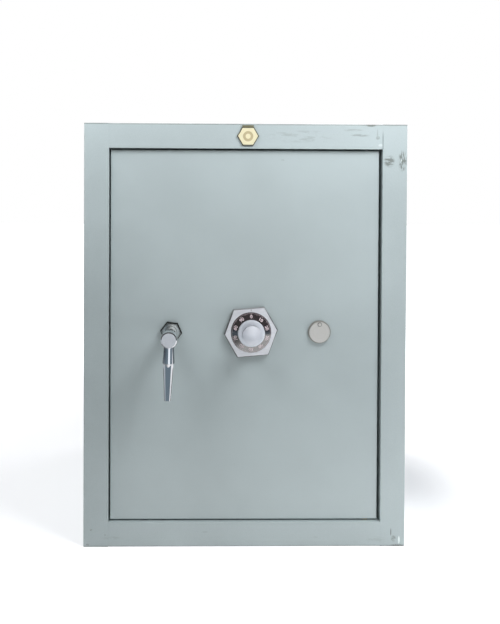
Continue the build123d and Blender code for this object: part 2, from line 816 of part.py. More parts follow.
with BuildPart() as bolt_carrier:
    block(carrier_x, carrier_y, carrier_z)
    for height in bolt_heights:
        cross_rod(carrier_x, bolt_y, height, bolt_screw_radius + loose_fit, Mode.SUBTRACT)
bolt_carrier.part.label = "bolt_carrier"
export_step(bolt_carrier.part, "parts/bolt_carrier.step")

with BuildPart() as bolt_screws:
    for height in bolt_heights:
        shank = (carrier_x[0] - bolt_screw_depth, carrier_x[1])
        cross_rod(shank, bolt_y, height, bolt_screw_radius)
        with BuildSketch(sideways(carrier_x[1], bolt_y, height)) as head:
            RegularPolygon(bolt_screw_head_radius, 6)
        extrude(head.sketch, amount=bolt_screw_head_height)
bolt_screws.part.label = "bolt_screws"
export_step(bolt_screws.part, "parts/bolt_screws.step")

# The yoke: its upright slot lets the crank pin rise and fall while it pushes the carrier
yoke_back = pin_y[1] - crank_pin_proud
yoke_y = (yoke_back - drive_plate_thickness, yoke_back)
yoke_centre = lever_x + pin_x
yoke_half = crank_pin_radius + yoke_play
yoke_slot_z = (
    control_height - crank_radius - yoke_half,
    control_height + pin_z + yoke_half,
)

with BuildPart() as drive_plate:
    plate_z = (yoke_slot_z[0] - drive_plate_rim_below, yoke_slot_z[1] + drive_plate_rim_above)
    block((carrier_x[1], yoke_centre + yoke_half + drive_plate_rim), yoke_y, plate_z)
    slot_x = (yoke_centre - yoke_half, yoke_centre + yoke_half)
    block(slot_x, yoke_y, yoke_slot_z, Mode.SUBTRACT)
    for height in bolt_heights:
        head_room = bolt_screw_head_radius + loose_fit
        head_x = (carrier_x[1], carrier_x[1] + bolt_screw_head_height + loose_fit)
        block(head_x, yoke_y, (height - head_room, height + head_room), Mode.SUBTRACT)
drive_plate.part.label = "drive_plate"
export_step(drive_plate.part, "parts/drive_plate.step")

# The arm: its hanging lugs pass over the two locks, whose bolts rise to block them
arm_y = (bolt_y - 2 * arm_thickness, bolt_y - arm_thickness)
arm_z = (control_height + arm_rise - arm_height / 2, control_height + arm_rise + arm_height / 2)
lug_bottom = lock_top + lug_clearance
stud_places = (carrier_x[1] + stud_inset, keyhole_x - stud_lead)


def lug_x(lock_x):
    """The span of the lug that stands beside a lock's bolt while the boltwork is drawn back."""
    start = lock_x + lock_bolt_width / 2 + lock_bolt_side_play
    return (start, start + lug_width)


with BuildPart() as lock_arm:
    block((carrier_x[1], lug_x(keyhole_x)[1] + arm_overhang), arm_y, arm_z)
    for lock_x in (dial_x, keyhole_x):
        block(lug_x(lock_x), arm_y, (lug_bottom, arm_z[0]))
    for place in stud_places:
        half = stud_radius + loose_fit
        travel = (place - half, place + half + bolt_throw)
        centre_z = (arm_z[0] + arm_z[1]) / 2
        block(travel, arm_y, (centre_z - half, centre_z + half), Mode.SUBTRACT)
lock_arm.part.label = "lock_arm"
export_step(lock_arm.part, "parts/lock_arm.step")

with BuildPart() as guide_studs:
    for place in stud_places:
        stand_off = arm_y[0] - loose_fit
        under_head = arm_y[1] + loose_fit
        centre_z = (arm_z[0] + arm_z[1]) / 2
        rod(place, centre_z, (pan_back, stand_off), stud_head_radius)
        rod(place, centre_z, (stand_off, under_head), stud_radius)
        rod(place, centre_z, (under_head, under_head + stud_head_height), stud_head_radius)
guide_studs.part.label = "guide_studs"
export_step(guide_studs.part, "parts/guide_studs.step")

# Dial: a fixed hexagonal ring round a turning dial plate with its knob
ring_y = (door_y - ring_thickness, door_y)
dial_back = door_y - ring_floor - loose_fit
dial_rim_front = dial_back - dial_rim_height
cone_front = dial_rim_front - dial_cone_height
flange_front = cone_front - knob_flange_height

ring_corners = [
    (ring_side_reach, 0),
    (ring_flat_half, ring_half_height),
    (-ring_flat_half, ring_half_height),
    (-ring_side_reach, 0),
    (-ring_flat_half, -ring_half_height),
    (ring_flat_half, -ring_half_height),
]

with BuildPart() as dial_ring:
    with BuildSketch(facing(dial_x, control_height, door_y)):
        Polygon(*ring_corners, rotation=ring_tilt)
        Circle(dial_sleeve_radius, mode=Mode.SUBTRACT)
    extrude(amount=ring_thickness)
    ring_front_edges = dial_ring.faces().sort_by(Axis.Y)[0].edges().filter_by(GeomType.LINE)
    chamfer(ring_front_edges, ring_chamfer)
    recess = (door_y - ring_thickness, door_y - ring_floor)
    rod(dial_x, control_height, recess, dial_radius + loose_fit, Mode.SUBTRACT)
    mark_z = control_height + dial_radius + index_mark_gap
    mark_span = (mark_z, mark_z + index_mark_length)
    mark_x = (dial_x - loose_fit, dial_x + loose_fit)
    block(mark_x, (ring_y[0], ring_y[0] + index_mark_depth), mark_span, Mode.SUBTRACT)
dial_ring.part.label = "dial_ring"
export_step(dial_ring.part, "parts/dial_ring.step")

with BuildPart() as dial_plate:
    turned(
        dial_x,
        control_height,
        dial_back,
        [
            (0, dial_spindle_radius),
            (0, dial_radius),
            (dial_rim_height, dial_radius),
            (dial_rim_height + dial_cone_height, knob_flange_radius),
            (dial_rim_height + dial_cone_height, dial_spindle_radius),
        ],
    )
dial_plate.part.label = "dial_plate"
export_step(dial_plate.part, "parts/dial_plate.step")

with BuildPart() as dial_knob:
    rod(dial_x, control_height, (flange_front, cone_front), knob_flange_radius)
    chamfer(dial_knob.edges().sort_by(Axis.Y)[0], knob_flange_chamfer)
    knob_seat = (dial_x, flange_front, control_height)
    with BuildSketch(Plane(origin=knob_seat, x_dir=(0, -1, 0), z_dir=(-1, 0, 0))):
        with BuildLine():
            rim_end = (knob_height - knob_dome, knob_radius)
            neck_end = (knob_neck_end, knob_radius)
            foot = (0, knob_neck_radius + knob_foot_flare)
            crown = (knob_height, 0)
            Polyline(rim_end, neck_end)
            Spline(neck_end, (knob_neck_middle, knob_neck_radius), foot)
            Polyline(foot, (0, 0), crown)
            ThreePointArc(crown, (knob_height - knob_dome / 4, knob_radius / 2), rim_end)
        make_face()
    revolve(axis=Axis(knob_seat, (0, -1, 0)))
    rod(dial_x, control_height, (flange_front, cone_front), dial_spindle_radius, Mode.SUBTRACT)
dial_knob.part.label = "dial_knob"
export_step(dial_knob.part, "parts/dial_knob.step")

cam_front = pan_back + lock_wall + cam_gap
cam_y = (cam_front, cam_front + cam_thickness)

with BuildPart() as dial_spindle:
    rod(dial_x, control_height, (flange_front, cam_y[1]), dial_spindle_radius)
dial_spindle.part.label = "dial_spindle"
export_step(dial_spindle.part, "parts/dial_spindle.step")


def gate(radius, y):
    """Cuts the notch in the top of a wheel or cam between two depths."""
    half = gate_width / 2
    span = (control_height + radius - gate_depth, control_height + radius + gate_depth)
    block((dial_x - half, dial_x + half), y, span, Mode.SUBTRACT)


with BuildPart() as drive_cam:
    rod(dial_x, control_height, cam_y, cam_radius)
    rod(dial_x, control_height, cam_y, dial_spindle_radius, Mode.SUBTRACT)
    gate(cam_radius, cam_y)
drive_cam.part.label = "drive_cam"
export_step(drive_cam.part, "parts/drive_cam.step")

# Combination lock: case, cover with the wheel post, and a pack of wheels between fixed spacers
lock_x_span = (dial_x - lock_half_width, dial_x + lock_half_width)
lock_z_span = (control_height - lock_drop, lock_top)
lock_y_span = (pan_back, pan_back + lock_depth)
lock_bolt_y = (arm_y[0] - arm_thickness, arm_y[1])
lock_bolt_body_z = (
    lock_top - lock_wall - lock_bolt_throw - lock_bolt_body_height - loose_fit,
    lock_top - lock_wall - lock_bolt_throw - loose_fit,
)


def inward(span, wall):
    """A span drawn in by a wall at both ends."""
    return (span[0] + wall, span[1] - wall)


def lock_screw_places(x_span, z_span, wall):
    """Middles of the four cover screws of a lock, in its corners."""
    inset = wall + cover_screw_radius
    return [(x, z) for x in inward(x_span, inset) for z in inward(z_span, inset)]


with BuildPart() as lock_case:
    block(lock_x_span, lock_y_span, lock_z_span)
    hollow_y = (lock_y_span[0] + lock_wall, lock_y_span[1])
    block(inward(lock_x_span, lock_wall), hollow_y, inward(lock_z_span, lock_wall), Mode.SUBTRACT)
    for x, z in lock_screw_places(lock_x_span, lock_z_span, lock_wall):
        rod(x, z, hollow_y, 2 * cover_screw_radius)
        rod(x, z, hollow_y, cover_screw_radius, Mode.SUBTRACT)
    front_wall = (lock_y_span[0], hollow_y[0])
    rod(dial_x, control_height, front_wall, dial_spindle_radius + loose_fit, Mode.SUBTRACT)
    nose_half = lock_bolt_width / 2 + loose_fit / 2
    nose_y = (lock_bolt_y[0] - loose_fit / 2, lock_bolt_y[1] + loose_fit / 2)
    roof = (lock_top - lock_wall, lock_top)
    block((dial_x - nose_half, dial_x + nose_half), nose_y, roof, Mode.SUBTRACT)
lock_case.part.label = "lock_case"
export_step(lock_case.part, "parts/lock_case.step")

lock_cover_y = (lock_y_span[1], lock_y_span[1] + lock_cover_thickness)

with BuildPart() as lock_cover:
    block(lock_x_span, lock_cover_y, lock_z_span)
    for x, z in lock_screw_places(lock_x_span, lock_z_span, lock_wall):
        rod(x, z, lock_cover_y, cover_screw_radius + loose_fit, Mode.SUBTRACT)
lock_cover.part.label = "lock_cover"
export_step(lock_cover.part, "parts/lock_cover.step")

wheel_gap = running_fit * 2
wheel_step = wheel_thickness + wheel_spacer_thickness + 2 * wheel_gap
wheel_fronts = [cam_y[1] + wheel_pack_gap + n * wheel_step for n in range(wheel_count)]
pack_end = wheel_fronts[-1] + wheel_thickness + wheel_gap

for number, wheel_front in enumerate(wheel_fronts, 1):
    with BuildPart() as wheel:
        wheel_y = (wheel_front, wheel_front + wheel_thickness)
        rod(dial_x, control_height, wheel_y, wheel_radius)
        rod(dial_x, control_height, wheel_y, wheel_post_radius + running_fit, Mode.SUBTRACT)
        gate(wheel_radius, wheel_y)
    wheel.part.label = f"lock_wheel_{number}"
    export_step(wheel.part, f"parts/lock_wheel_{number}.step")

with BuildPart() as wheel_post:
    rod(dial_x, control_height, (wheel_fronts[0], pack_end), wheel_post_radius)
    rod(dial_x, control_height, (pack_end, lock_cover_y[0]), wheel_post_flange)
    for wheel_front in wheel_fronts[:-1]:
        spacer_front = wheel_front + wheel_thickness + wheel_gap
        spacer_y = (spacer_front, spacer_front + wheel_spacer_thickness)
        with BuildSketch(facing(dial_x, control_height, spacer_y[1])) as spacer:
            Circle(wheel_post_flange)
            Circle(wheel_post_radius + running_fit, mode=Mode.SUBTRACT)
        extrude(spacer.sketch, amount=wheel_spacer_thickness)
wheel_post.part.label = "wheel_post"
export_step(wheel_post.part, "parts/wheel_post.step")

# Lock bolt and the fence lever that hangs from it over the wheels
fence_pivot_x = dial_x + lock_bolt_body_width / 2 - fence_pivot_inset
fence_pivot_z = (lock_bolt_body_z[0] + lock_bolt_body_z[1]) / 2
lever_plate_y = (cam_y[0] + loose_fit, lock_bolt_y[0] - loose_fit)

with BuildPart() as lock_bolt:
    half = lock_bolt_body_width / 2
    block((dial_x - half, dial_x + half), lock_bolt_y, lock_bolt_body_z)
    half = lock_bolt_width / 2
    nose_z = (lock_bolt_body_z[1], lock_top + lock_bolt_proud)
    block((dial_x - half, dial_x + half), lock_bolt_y, nose_z)
    pivot_span = (lever_plate_y[0], lock_bolt_y[0])
    rod(fence_pivot_x, fence_pivot_z, pivot_span, fence_pivot_radius)
lock_bolt.part.label = "lock_bolt"
export_step(lock_bolt.part, "parts/lock_bolt.step")

with BuildPart() as fence_lever:
    fence_x = (dial_x - fence_offset, dial_x - fence_offset + fence_width)
    rim_height = (wheel_radius**2 - (dial_x - fence_x[1]) ** 2) ** 0.5
    fence_z = control_height + rim_height + fence_gap
    fence_top = lock_bolt_body_z[1] - fence_pivot_radius / 2
    with BuildSketch(facing(0, 0, lever_plate_y[1])):
        with BuildLine():
            Polyline(
                (fence_pivot_x + fence_width, fence_top),
                (fence_pivot_x + fence_width, lock_bolt_body_z[0]),
                (dial_x - fence_width / 2, fence_z),
                (fence_x[0], fence_z),
                (fence_x[0], fence_z + fence_width),
                (fence_pivot_x - fence_width, fence_top),
                close=True,
            )
        make_face()
        with Locations((fence_pivot_x, fence_pivot_z)):
            Circle(fence_pivot_radius + running_fit, mode=Mode.SUBTRACT)
    extrude(amount=lever_plate_y[1] - lever_plate_y[0])
    block(fence_x, (lever_plate_y[0], pack_end), (fence_z, fence_z + fence_width))
fence_lever.part.label = "fence_lever"
export_step(fence_lever.part, "parts/fence_lever.step")

# Key lock: a case behind the keyhole with a bolt that rises and a stack of levers
key_x_span = (keyhole_x - key_lock_half_width, keyhole_x + key_lock_half_width)
key_y_span = (pan_back, pan_back + key_lock_depth)
key_bolt_y = (arm_y[0] - key_bolt_thickness / 2, arm_y[0] + key_bolt_thickness / 2)
key_body_z = (lock_bolt_body_z[0] - 2 * lock_bolt_body_height, lock_bolt_body_z[1])
stump_z = key_body_z[0] + lock_bolt_body_height
key_lever_pivot_x = key_x_span[0] + key_lock_wall + key_lever_pivot_inset
key_lever_pivot_z = stump_z - key_lever_pivot_drop

with BuildPart() as key_lock_case:
    block(key_x_span, key_y_span, lock_z_span)
    hollow_y = (key_y_span[0] + key_lock_wall, key_y_span[1])
    block(inward(key_x_span, key_lock_wall), hollow_y, inward(lock_z_span, key_lock_wall), Mode.SUBTRACT)
    for x, z in lock_screw_places(key_x_span, lock_z_span, key_lock_wall):
        rod(x, z, hollow_y, 2 * cover_screw_radius)
        rod(x, z, hollow_y, cover_screw_radius, Mode.SUBTRACT)
    rod(key_lever_pivot_x, key_lever_pivot_z, hollow_y, key_stump_radius)
    front_wall = (key_y_span[0], hollow_y[0])
    rod(keyhole_x, control_height, front_wall, key_tube_radius, Mode.SUBTRACT)
    nose_y = (key_bolt_y[0] - loose_fit / 2, key_bolt_y[1] + loose_fit / 2)
    block((keyhole_x - nose_half, keyhole_x + nose_half), nose_y, roof, Mode.SUBTRACT)
key_lock_case.part.label = "key_lock_case"
export_step(key_lock_case.part, "parts/key_lock_case.step")

key_cover_y = (key_y_span[1], key_y_span[1] + key_cover_thickness)

with BuildPart() as key_lock_cover:
    block(key_x_span, key_cover_y, lock_z_span)
    for x, z in lock_screw_places(key_x_span, lock_z_span, key_lock_wall):
        rod(x, z, key_cover_y, cover_screw_radius + loose_fit, Mode.SUBTRACT)
key_lock_cover.part.label = "key_lock_cover"
export_step(key_lock_cover.part, "parts/key_lock_cover.step")

# Identical pan-head screws hold the rear cover and both lock covers
with BuildPart() as cover_screws:
    screw_length = rear_cover_thickness + box_sheet
    rows = [box_low + screw_inset + n * screw_pitch for n in range(cover_screw_rows)]
    sides = (box_left + screw_inset, box_right - screw_inset)
    seats = [(x, z, box_back + rear_cover_thickness) for x in sides for z in rows]
    for x, z in lock_screw_places(lock_x_span, lock_z_span, lock_wall):
        seats.append((x, z, lock_cover_y[1]))
    for x, z in lock_screw_places(key_x_span, lock_z_span, key_lock_wall):
        seats.append((x, z, key_cover_y[1]))
    for x, z, seat in seats:
        rod(x, z, (seat - screw_length, seat), cover_screw_radius)
        rod(x, z, (seat, seat + cover_screw_head_height), cover_screw_head_radius)
cover_screws.part.label = "cover_screws"
export_step(cover_screws.part, "parts/cover_screws.step")

lever_stack = key_lever_count * key_lever_thickness + (key_lever_count - 1) * key_lever_gap
stack_front = key_bolt_y[0] - loose_fit - lever_stack

with BuildPart() as key_bolt:
    half = lock_bolt_body_width / 2
    block((keyhole_x - half, keyhole_x + half), key_bolt_y, key_body_z)
    half = lock_bolt_width / 2
    nose_z = (key_body_z[1], lock_top + lock_bolt_proud)
    block((keyhole_x - half, keyhole_x + half), key_bolt_y, nose_z)
    rod(keyhole_x, stump_z, (stack_front, key_bolt_y[0]), key_stump_radius)
key_bolt.part.label = "key_bolt"
export_step(key_bolt.part, "parts/key_bolt.step")

key_lever_x = (key_lever_pivot_x - key_lever_end, keyhole_x + lock_bolt_body_width / 2)
key_lever_z = (control_height + key_lever_bottom, stump_z + key_lever_rise)
key_lever_width = key_lever_x[1] - key_lever_x[0]
key_lever_height = key_lever_z[1] - key_lever_z[0]
key_gate_depth = key_lever_rise + key_gate_half

with BuildPart() as key_levers:
    for number in range(key_lever_count):
        front = stack_front + number * (key_lever_thickness + key_lever_gap)
        with BuildSketch(facing(0, 0, front + key_lever_thickness)) as key_lever:
            with Locations((sum(key_lever_x) / 2, sum(key_lever_z) / 2)):
                Rectangle(key_lever_width, key_lever_height)
            chamfer(key_lever.vertices().group_by(Axis.Y)[0], key_lever_chamfer)
            with Locations((keyhole_x, key_lever_z[1])):
                Rectangle(2 * key_gate_half, 2 * key_gate_depth, mode=Mode.SUBTRACT)
            with Locations((key_lever_pivot_x, key_lever_pivot_z)):
                Circle(key_stump_radius + running_fit, mode=Mode.SUBTRACT)
        extrude(key_lever.sketch, amount=key_lever_thickness)
key_levers.part.label = "key_levers"
export_step(key_levers.part, "parts/key_levers.step")

# Keyhole plate with its keyhole, and the round cover that hangs from a rivet
rivet_z = control_height + rivet_rise
escutcheon_y = (door_y - escutcheon_thickness, door_y)
keyhole_cover_y = (
    escutcheon_y[0] - loose_fit - keyhole_cover_thickness,
    escutcheon_y[0] - loose_fit,
)

with BuildPart() as keyhole_plate:
    with BuildSketch(facing(keyhole_x, control_height, door_y)):
        Circle(escutcheon_radius)
        Circle(keyhole_radius, mode=Mode.SUBTRACT)
        with Locations((0, -keyhole_slot_drop / 2)):
            Rectangle(keyhole_slot_width, keyhole_slot_drop, mode=Mode.SUBTRACT)
        with Locations((0, rivet_rise)):
            Circle(rivet_radius, mode=Mode.SUBTRACT)
    extrude(amount=escutcheon_thickness)
keyhole_plate.part.label = "keyhole_plate"
export_step(keyhole_plate.part, "parts/keyhole_plate.step")

with BuildPart() as keyhole_cover:
    with BuildSketch(facing(keyhole_x, control_height, keyhole_cover_y[1])):
        Circle(keyhole_cover_radius)
    extrude(amount=keyhole_cover_thickness)
    fillet(keyhole_cover.edges().sort_by(Axis.Y)[0], keyhole_cover_edge)
    rivet_bore = rivet_radius + running_fit
    rod(keyhole_x, rivet_z, keyhole_cover_y, rivet_bore, Mode.SUBTRACT)
keyhole_cover.part.label = "keyhole_cover"
export_step(keyhole_cover.part, "parts/keyhole_cover.step")

with BuildPart() as cover_rivet:
    head_back = keyhole_cover_y[0] - 2 * running_fit
    rod(keyhole_x, rivet_z, (head_back, door_y), rivet_radius)
    rod(keyhole_x, rivet_z, (head_back - rivet_head_height, head_back), rivet_head_radius)
    fillet(cover_rivet.edges().sort_by(Axis.Y)[0], rivet_head_height / 2)
cover_rivet.part.label = "cover_rivet"
export_step(cover_rivet.part, "parts/cover_rivet.step")
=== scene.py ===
# %% [markdown]
# # A metal safe
#
# This notebook dresses the CAD model of a free-standing safe. The shapes come from the frame, so each
# CAD piece stays where it is and gets a finish. The small detail that a CAD solid leaves out is modelled
# here: the dial's numbers, the badge's inlay and the recesses of the screws.

import json
from math import cos, pi, radians, sin

import bmesh
import bpy
from mathutils import Matrix, Vector


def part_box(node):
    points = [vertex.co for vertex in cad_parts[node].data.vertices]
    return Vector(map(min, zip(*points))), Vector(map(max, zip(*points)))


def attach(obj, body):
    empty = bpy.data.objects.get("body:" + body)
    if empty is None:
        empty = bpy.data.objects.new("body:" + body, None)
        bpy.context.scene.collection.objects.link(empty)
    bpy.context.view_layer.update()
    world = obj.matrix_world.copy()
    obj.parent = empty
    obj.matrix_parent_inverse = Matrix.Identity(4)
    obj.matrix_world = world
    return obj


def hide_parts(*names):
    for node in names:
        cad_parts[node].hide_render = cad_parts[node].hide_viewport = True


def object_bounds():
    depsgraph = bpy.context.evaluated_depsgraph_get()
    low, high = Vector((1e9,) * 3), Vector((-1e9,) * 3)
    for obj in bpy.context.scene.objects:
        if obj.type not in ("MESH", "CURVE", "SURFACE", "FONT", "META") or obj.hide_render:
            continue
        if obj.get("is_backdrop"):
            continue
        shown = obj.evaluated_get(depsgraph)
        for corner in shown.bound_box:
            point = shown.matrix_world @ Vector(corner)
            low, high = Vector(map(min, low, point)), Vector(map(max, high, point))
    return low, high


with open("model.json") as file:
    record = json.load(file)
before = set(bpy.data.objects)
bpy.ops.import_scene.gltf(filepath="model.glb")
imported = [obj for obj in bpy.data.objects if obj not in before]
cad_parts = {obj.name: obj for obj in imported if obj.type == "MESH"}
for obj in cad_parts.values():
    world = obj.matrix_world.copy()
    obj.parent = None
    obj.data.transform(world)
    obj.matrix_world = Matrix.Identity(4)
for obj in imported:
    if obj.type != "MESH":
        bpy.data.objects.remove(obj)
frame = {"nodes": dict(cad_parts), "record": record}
cad_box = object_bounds()
nodes = frame["nodes"]
print("size in mm:", [round(1000 * (high - low)) for low, high in zip(*cad_box)])

# %% [markdown]
# ## Camera
#
# The camera stands about 95 cm from the door, a little to the left of the middle and above it. It was
# found by matching the corners of the front, the door's edges and the three controls to the photograph.
# A shift frames the safe and keeps the upright edges nearly parallel, which a tilt wouldn't do.

# %% Camera
IMAGE_HEIGHT = 624
FOCAL_PIXELS = 586.3

camera_data = bpy.data.cameras.new("camera")
camera_data.sensor_fit = "VERTICAL"
camera_data.sensor_height = 36
camera_data.lens = 36 * FOCAL_PIXELS / IMAGE_HEIGHT
camera_data.shift_x = 0.0621
camera_data.shift_y = -0.1458
camera_data.clip_start = 0.02
camera = bpy.data.objects.new("camera", camera_data)
camera.location = (-0.0682, -1.1742, 0.5408)
camera.rotation_euler = (radians(89.371), radians(-0.252), radians(-0.720))
bpy.context.scene.collection.objects.link(camera)
bpy.context.scene.camera = camera
bpy.context.scene.view_settings.view_transform = "Standard"
print("lens in mm:", round(camera_data.lens, 2))

# %% [markdown]
# ## Colours and nodes
#
# Every finish is procedural, so it needs many small shader nodes. One helper adds a node and returns
# its output, which keeps a material readable as a list of steps. A screen colour is turned into the
# linear colour that a shader works in, because the two differ most in the mid tones.

# %% Colours and nodes
def linear(red, green, blue):
    """A colour written as 0 to 255 screen values, as the linear colour that a shader takes."""
    values = [channel / 255 for channel in (red, green, blue)]
    return (*[v / 12.92 if v <= 0.04045 else ((v + 0.055) / 1.055) ** 2.4 for v in values], 1)


def node(mat, kind, inputs=None, out=0, **settings):
    """Adds a node, sets or links its inputs and returns one of its outputs."""
    made = mat.node_tree.nodes.new("ShaderNode" + kind)
    for name, value in settings.items():
        setattr(made, name, value)
    for key, value in (inputs or {}).items():
        if isinstance(value, bpy.types.NodeSocket):
            mat.node_tree.links.new(value, made.inputs[key])
        else:
            made.inputs[key].default_value = value
    return made.outputs[out]


print("a middle grey in linear light:", round(linear(128, 128, 128)[0], 3))

# %% [markdown]
# ## A material and its sockets
#
# A value that is the same all over is set on the shader's own socket, and only what varies is linked.
# That keeps the node tree small, and other programs can read the plain values.

# %% A material and its sockets
def material(name, color, metallic=0.0, roughness=0.5, **sockets):
    """A new material whose shader has these constant values on its own sockets."""
    mat = bpy.data.materials.new(name)
    mat.use_nodes = True
    shader = mat.node_tree.nodes["Principled BSDF"]
    shader.inputs["Base Color"].default_value = color
    shader.inputs["Metallic"].default_value = metallic
    shader.inputs["Roughness"].default_value = roughness
    for key, value in sockets.items():
        shader.inputs[key.replace("_", " ")].default_value = value
    return mat


def wire(mat, socket, value):
    """Links a value to one of the shader's sockets."""
    mat.node_tree.links.new(value, mat.node_tree.nodes["Principled BSDF"].inputs[socket])


print("materials so far:", len(bpy.data.materials))

# %% [markdown]
# ## Sums and mixtures
#
# Wear and dirt are masks, numbers from 0 to 1 over the surface. They are made with arithmetic, and a
# smooth step turns a distance or a noise into a soft edge. A mask then mixes two colours.

# %% Sums and mixtures
def calc(mat, operation, first, second=0.0):
    """One step of arithmetic."""
    return node(mat, "Math", {0: first, 1: second}, operation=operation)


def span(mat, value, low, high, start=0.0, end=1.0):
    """A smooth step from start at low to end at high."""
    inputs = {"Value": value, "From Min": low, "From Max": high, "To Min": start, "To Max": end}
    return node(mat, "MapRange", inputs, interpolation_type="SMOOTHSTEP")


def mix(mat, factor, first, second):
    """A colour between two colours."""
    return node(mat, "Mix", {0: factor, 6: first, 7: second}, out=2, data_type="RGBA")


print("mask helpers: calc, span, mix")

# %% [markdown]
# ## Places and textures
#
# All textures use Object coordinates, which are metres on the safe itself. A grain then has its real
# size, a mark has its real place, and neither moves when the camera does.

# %% Places and textures
def place(mat, scale=(1, 1, 1), offset=(0, 0, 0)):
    """Object coordinates, scaled and moved."""
    coords = node(mat, "TexCoord", out="Object")
    return node(mat, "Mapping", {"Vector": coords, "Scale": scale, "Location": offset})


def along(mat, axis):
    """One of the Object coordinates."""
    coords = node(mat, "TexCoord", out="Object")
    return node(mat, "SeparateXYZ", {"Vector": coords}, out=axis)


def patch(mat, centre, size, soft=0.5):
    """1 inside an ellipsoid and 0 outside it, with a soft edge."""
    coords = node(mat, "TexCoord", out="Object")
    moved = node(mat, "VectorMath", {0: coords, 1: centre}, operation="SUBTRACT")
    scaled = node(mat, "VectorMath", {0: moved, 1: size}, operation="DIVIDE")
    distance = node(mat, "VectorMath", {0: scaled}, out="Value", operation="LENGTH")
    return span(mat, distance, 1.0, 1.0 - soft)


def noise(mat, scale, detail=2.0, rough=0.5, stretch=(1, 1, 1), offset=(0, 0, 0)):
    """Cloudy noise about 0.5. The scale is the number of clouds in a metre."""
    vector = place(mat, stretch, offset)
    return node(mat, "TexNoise", {"Vector": vector, "Scale": scale, "Detail": detail, "Roughness": rough})


def bump(mat, height, distance, strength=1.0, normal=None):
    """A normal that makes a height of 0 to 1 stand up by a distance in metres."""
    inputs = {"Height": height, "Distance": distance, "Strength": strength}
    if normal is not None:
        inputs["Normal"] = normal
    return node(mat, "Bump", inputs)


print("place helpers: place, along, patch, noise, bump")

# %% [markdown]
# ## Lamps
#
# Soft lamps stand above the safe and to the right, which is why the front is lightest at the top right
# and why the lever throws a soft shadow. Two lamps behind the safe keep its back and sides from going
# dark in other views. The lamps are hidden from reflections, because chrome mirrors a lamp as a hard
# bright spot.

# %% Lamps
DAYLIGHT = (0.935, 0.950, 1.0)


def soft_lamp(name, location, target, size, power, tint):
    """A rectangular lamp that points at a target and isn't mirrored in chrome."""
    data = bpy.data.lights.new(name, "AREA")
    data.shape = "RECTANGLE"
    data.size, data.size_y = size
    data.energy = power
    data.color = tint
    lamp = bpy.data.objects.new(name, data)
    lamp.location = location
    aim = Vector(target) - Vector(location)
    lamp.rotation_euler = aim.to_track_quat("-Z", "Y").to_euler()
    lamp.visible_camera = False
    lamp.visible_glossy = False
    bpy.context.scene.collection.objects.link(lamp)
    return lamp


soft_lamp("lamp_above_left", (-0.44, -0.42, 0.98), (-0.30, -0.225, 0.64), (0.4, 0.2), 2.95, DAYLIGHT)
soft_lamp("lamp_above_right", (0.44, -0.55, 1.12), (0.24, -0.225, 0.56), (0.4, 0.3), 6.2, DAYLIGHT)
soft_lamp("lamp_right", (0.90, -0.90, 1.50), (0.10, -0.220, 0.50), (0.6, 0.6), 5.3, DAYLIGHT)
soft_lamp("lamp_low", (0.75, -0.60, 0.10), (0.25, -0.225, 0.12), (0.4, 0.4), 1.95, DAYLIGHT)
soft_lamp("lamp_back_left", (-1.30, 0.95, 1.20), (0.0, 0.10, 0.40), (0.9, 0.9), 13.0, DAYLIGHT)
soft_lamp("lamp_back_right", (1.20, 1.10, 1.30), (0.0, 0.10, 0.40), (0.9, 0.9), 10.0, DAYLIGHT)
soft_lamp("floor_bounce", (0.0, -0.36, 0.02), (0.0, -0.225, 0.09), (0.9, 0.08), 0.12, DAYLIGHT)

# %% [markdown]
# ## The room that chrome shows
#
# Chrome has hardly a colour of its own. It shows the room, so the room is drawn for reflections alone:
# light behind the safe, one bright card in front and dark everywhere else. Light Path tells the kinds
# of ray apart, so the camera still sees plain white.

# %% The room that chrome shows
world = bpy.data.worlds.new("surround")
world.use_nodes = True
bpy.context.scene.world = world
rays = world.node_tree.nodes.new("ShaderNodeLightPath")
ray = node(world, "TexCoord", out="Generated")
ray_x, ray_y, ray_z = [node(world, "SeparateXYZ", {"Vector": ray}, out=axis) for axis in "XYZ"]


def card_mask(mat, side, depth):
    """1 where a direction or a place lies inside the sector that the bright card takes up."""
    slant = calc(mat, "DIVIDE", side, calc(mat, "MAXIMUM", calc(mat, "MULTIPLY", depth, -1), 0.01))
    return calc(mat, "MULTIPLY", span(mat, slant, -0.16, -0.10), span(mat, slant, 0.52, 0.44))


in_front = calc(world, "MULTIPLY", span(world, ray_y, -0.55, -0.70), span(world, ray_z, 0.55, 0.45))
card = calc(world, "MULTIPLY", card_mask(world, ray_x, ray_y), in_front)
room = calc(world, "MAXIMUM", span(world, ray_y, -0.05, 0.30, 0.09, 1.0), calc(world, "MULTIPLY", card, 1.15))
strength = node(world, "Mix", {0: rays.outputs["Is Glossy Ray"], 2: 0.15, 3: room})
clear = calc(world, "MAXIMUM", rays.outputs["Is Transmission Ray"], rays.outputs["Is Camera Ray"])
strength = node(world, "Mix", {0: clear, 2: strength, 3: 1.0})
background = world.node_tree.nodes["Background"]
world.node_tree.links.new(strength, background.inputs["Strength"])
background.inputs["Color"].default_value = (1, 1, 1, 1)
print("world nodes:", len(world.node_tree.nodes))

# %% [markdown]
# ## Floor in reflections
#
# The safe stands on white paper. For reflections alone the floor glows with a drawn pattern, a painted
# reflection: that paper near the safe, a dull grey-blue floor beyond it and the foot of the bright card.
# The lever's chrome gets its dark and light stripes here.

# %% Floor in reflections
floor_mesh = bmesh.new()
bmesh.ops.create_grid(floor_mesh, x_segments=1, y_segments=1, size=30)
floor = bpy.data.objects.new("floor", bpy.data.meshes.new("floor"))
floor_mesh.to_mesh(floor.data)
floor_mesh.free()
bpy.context.scene.collection.objects.link(floor)

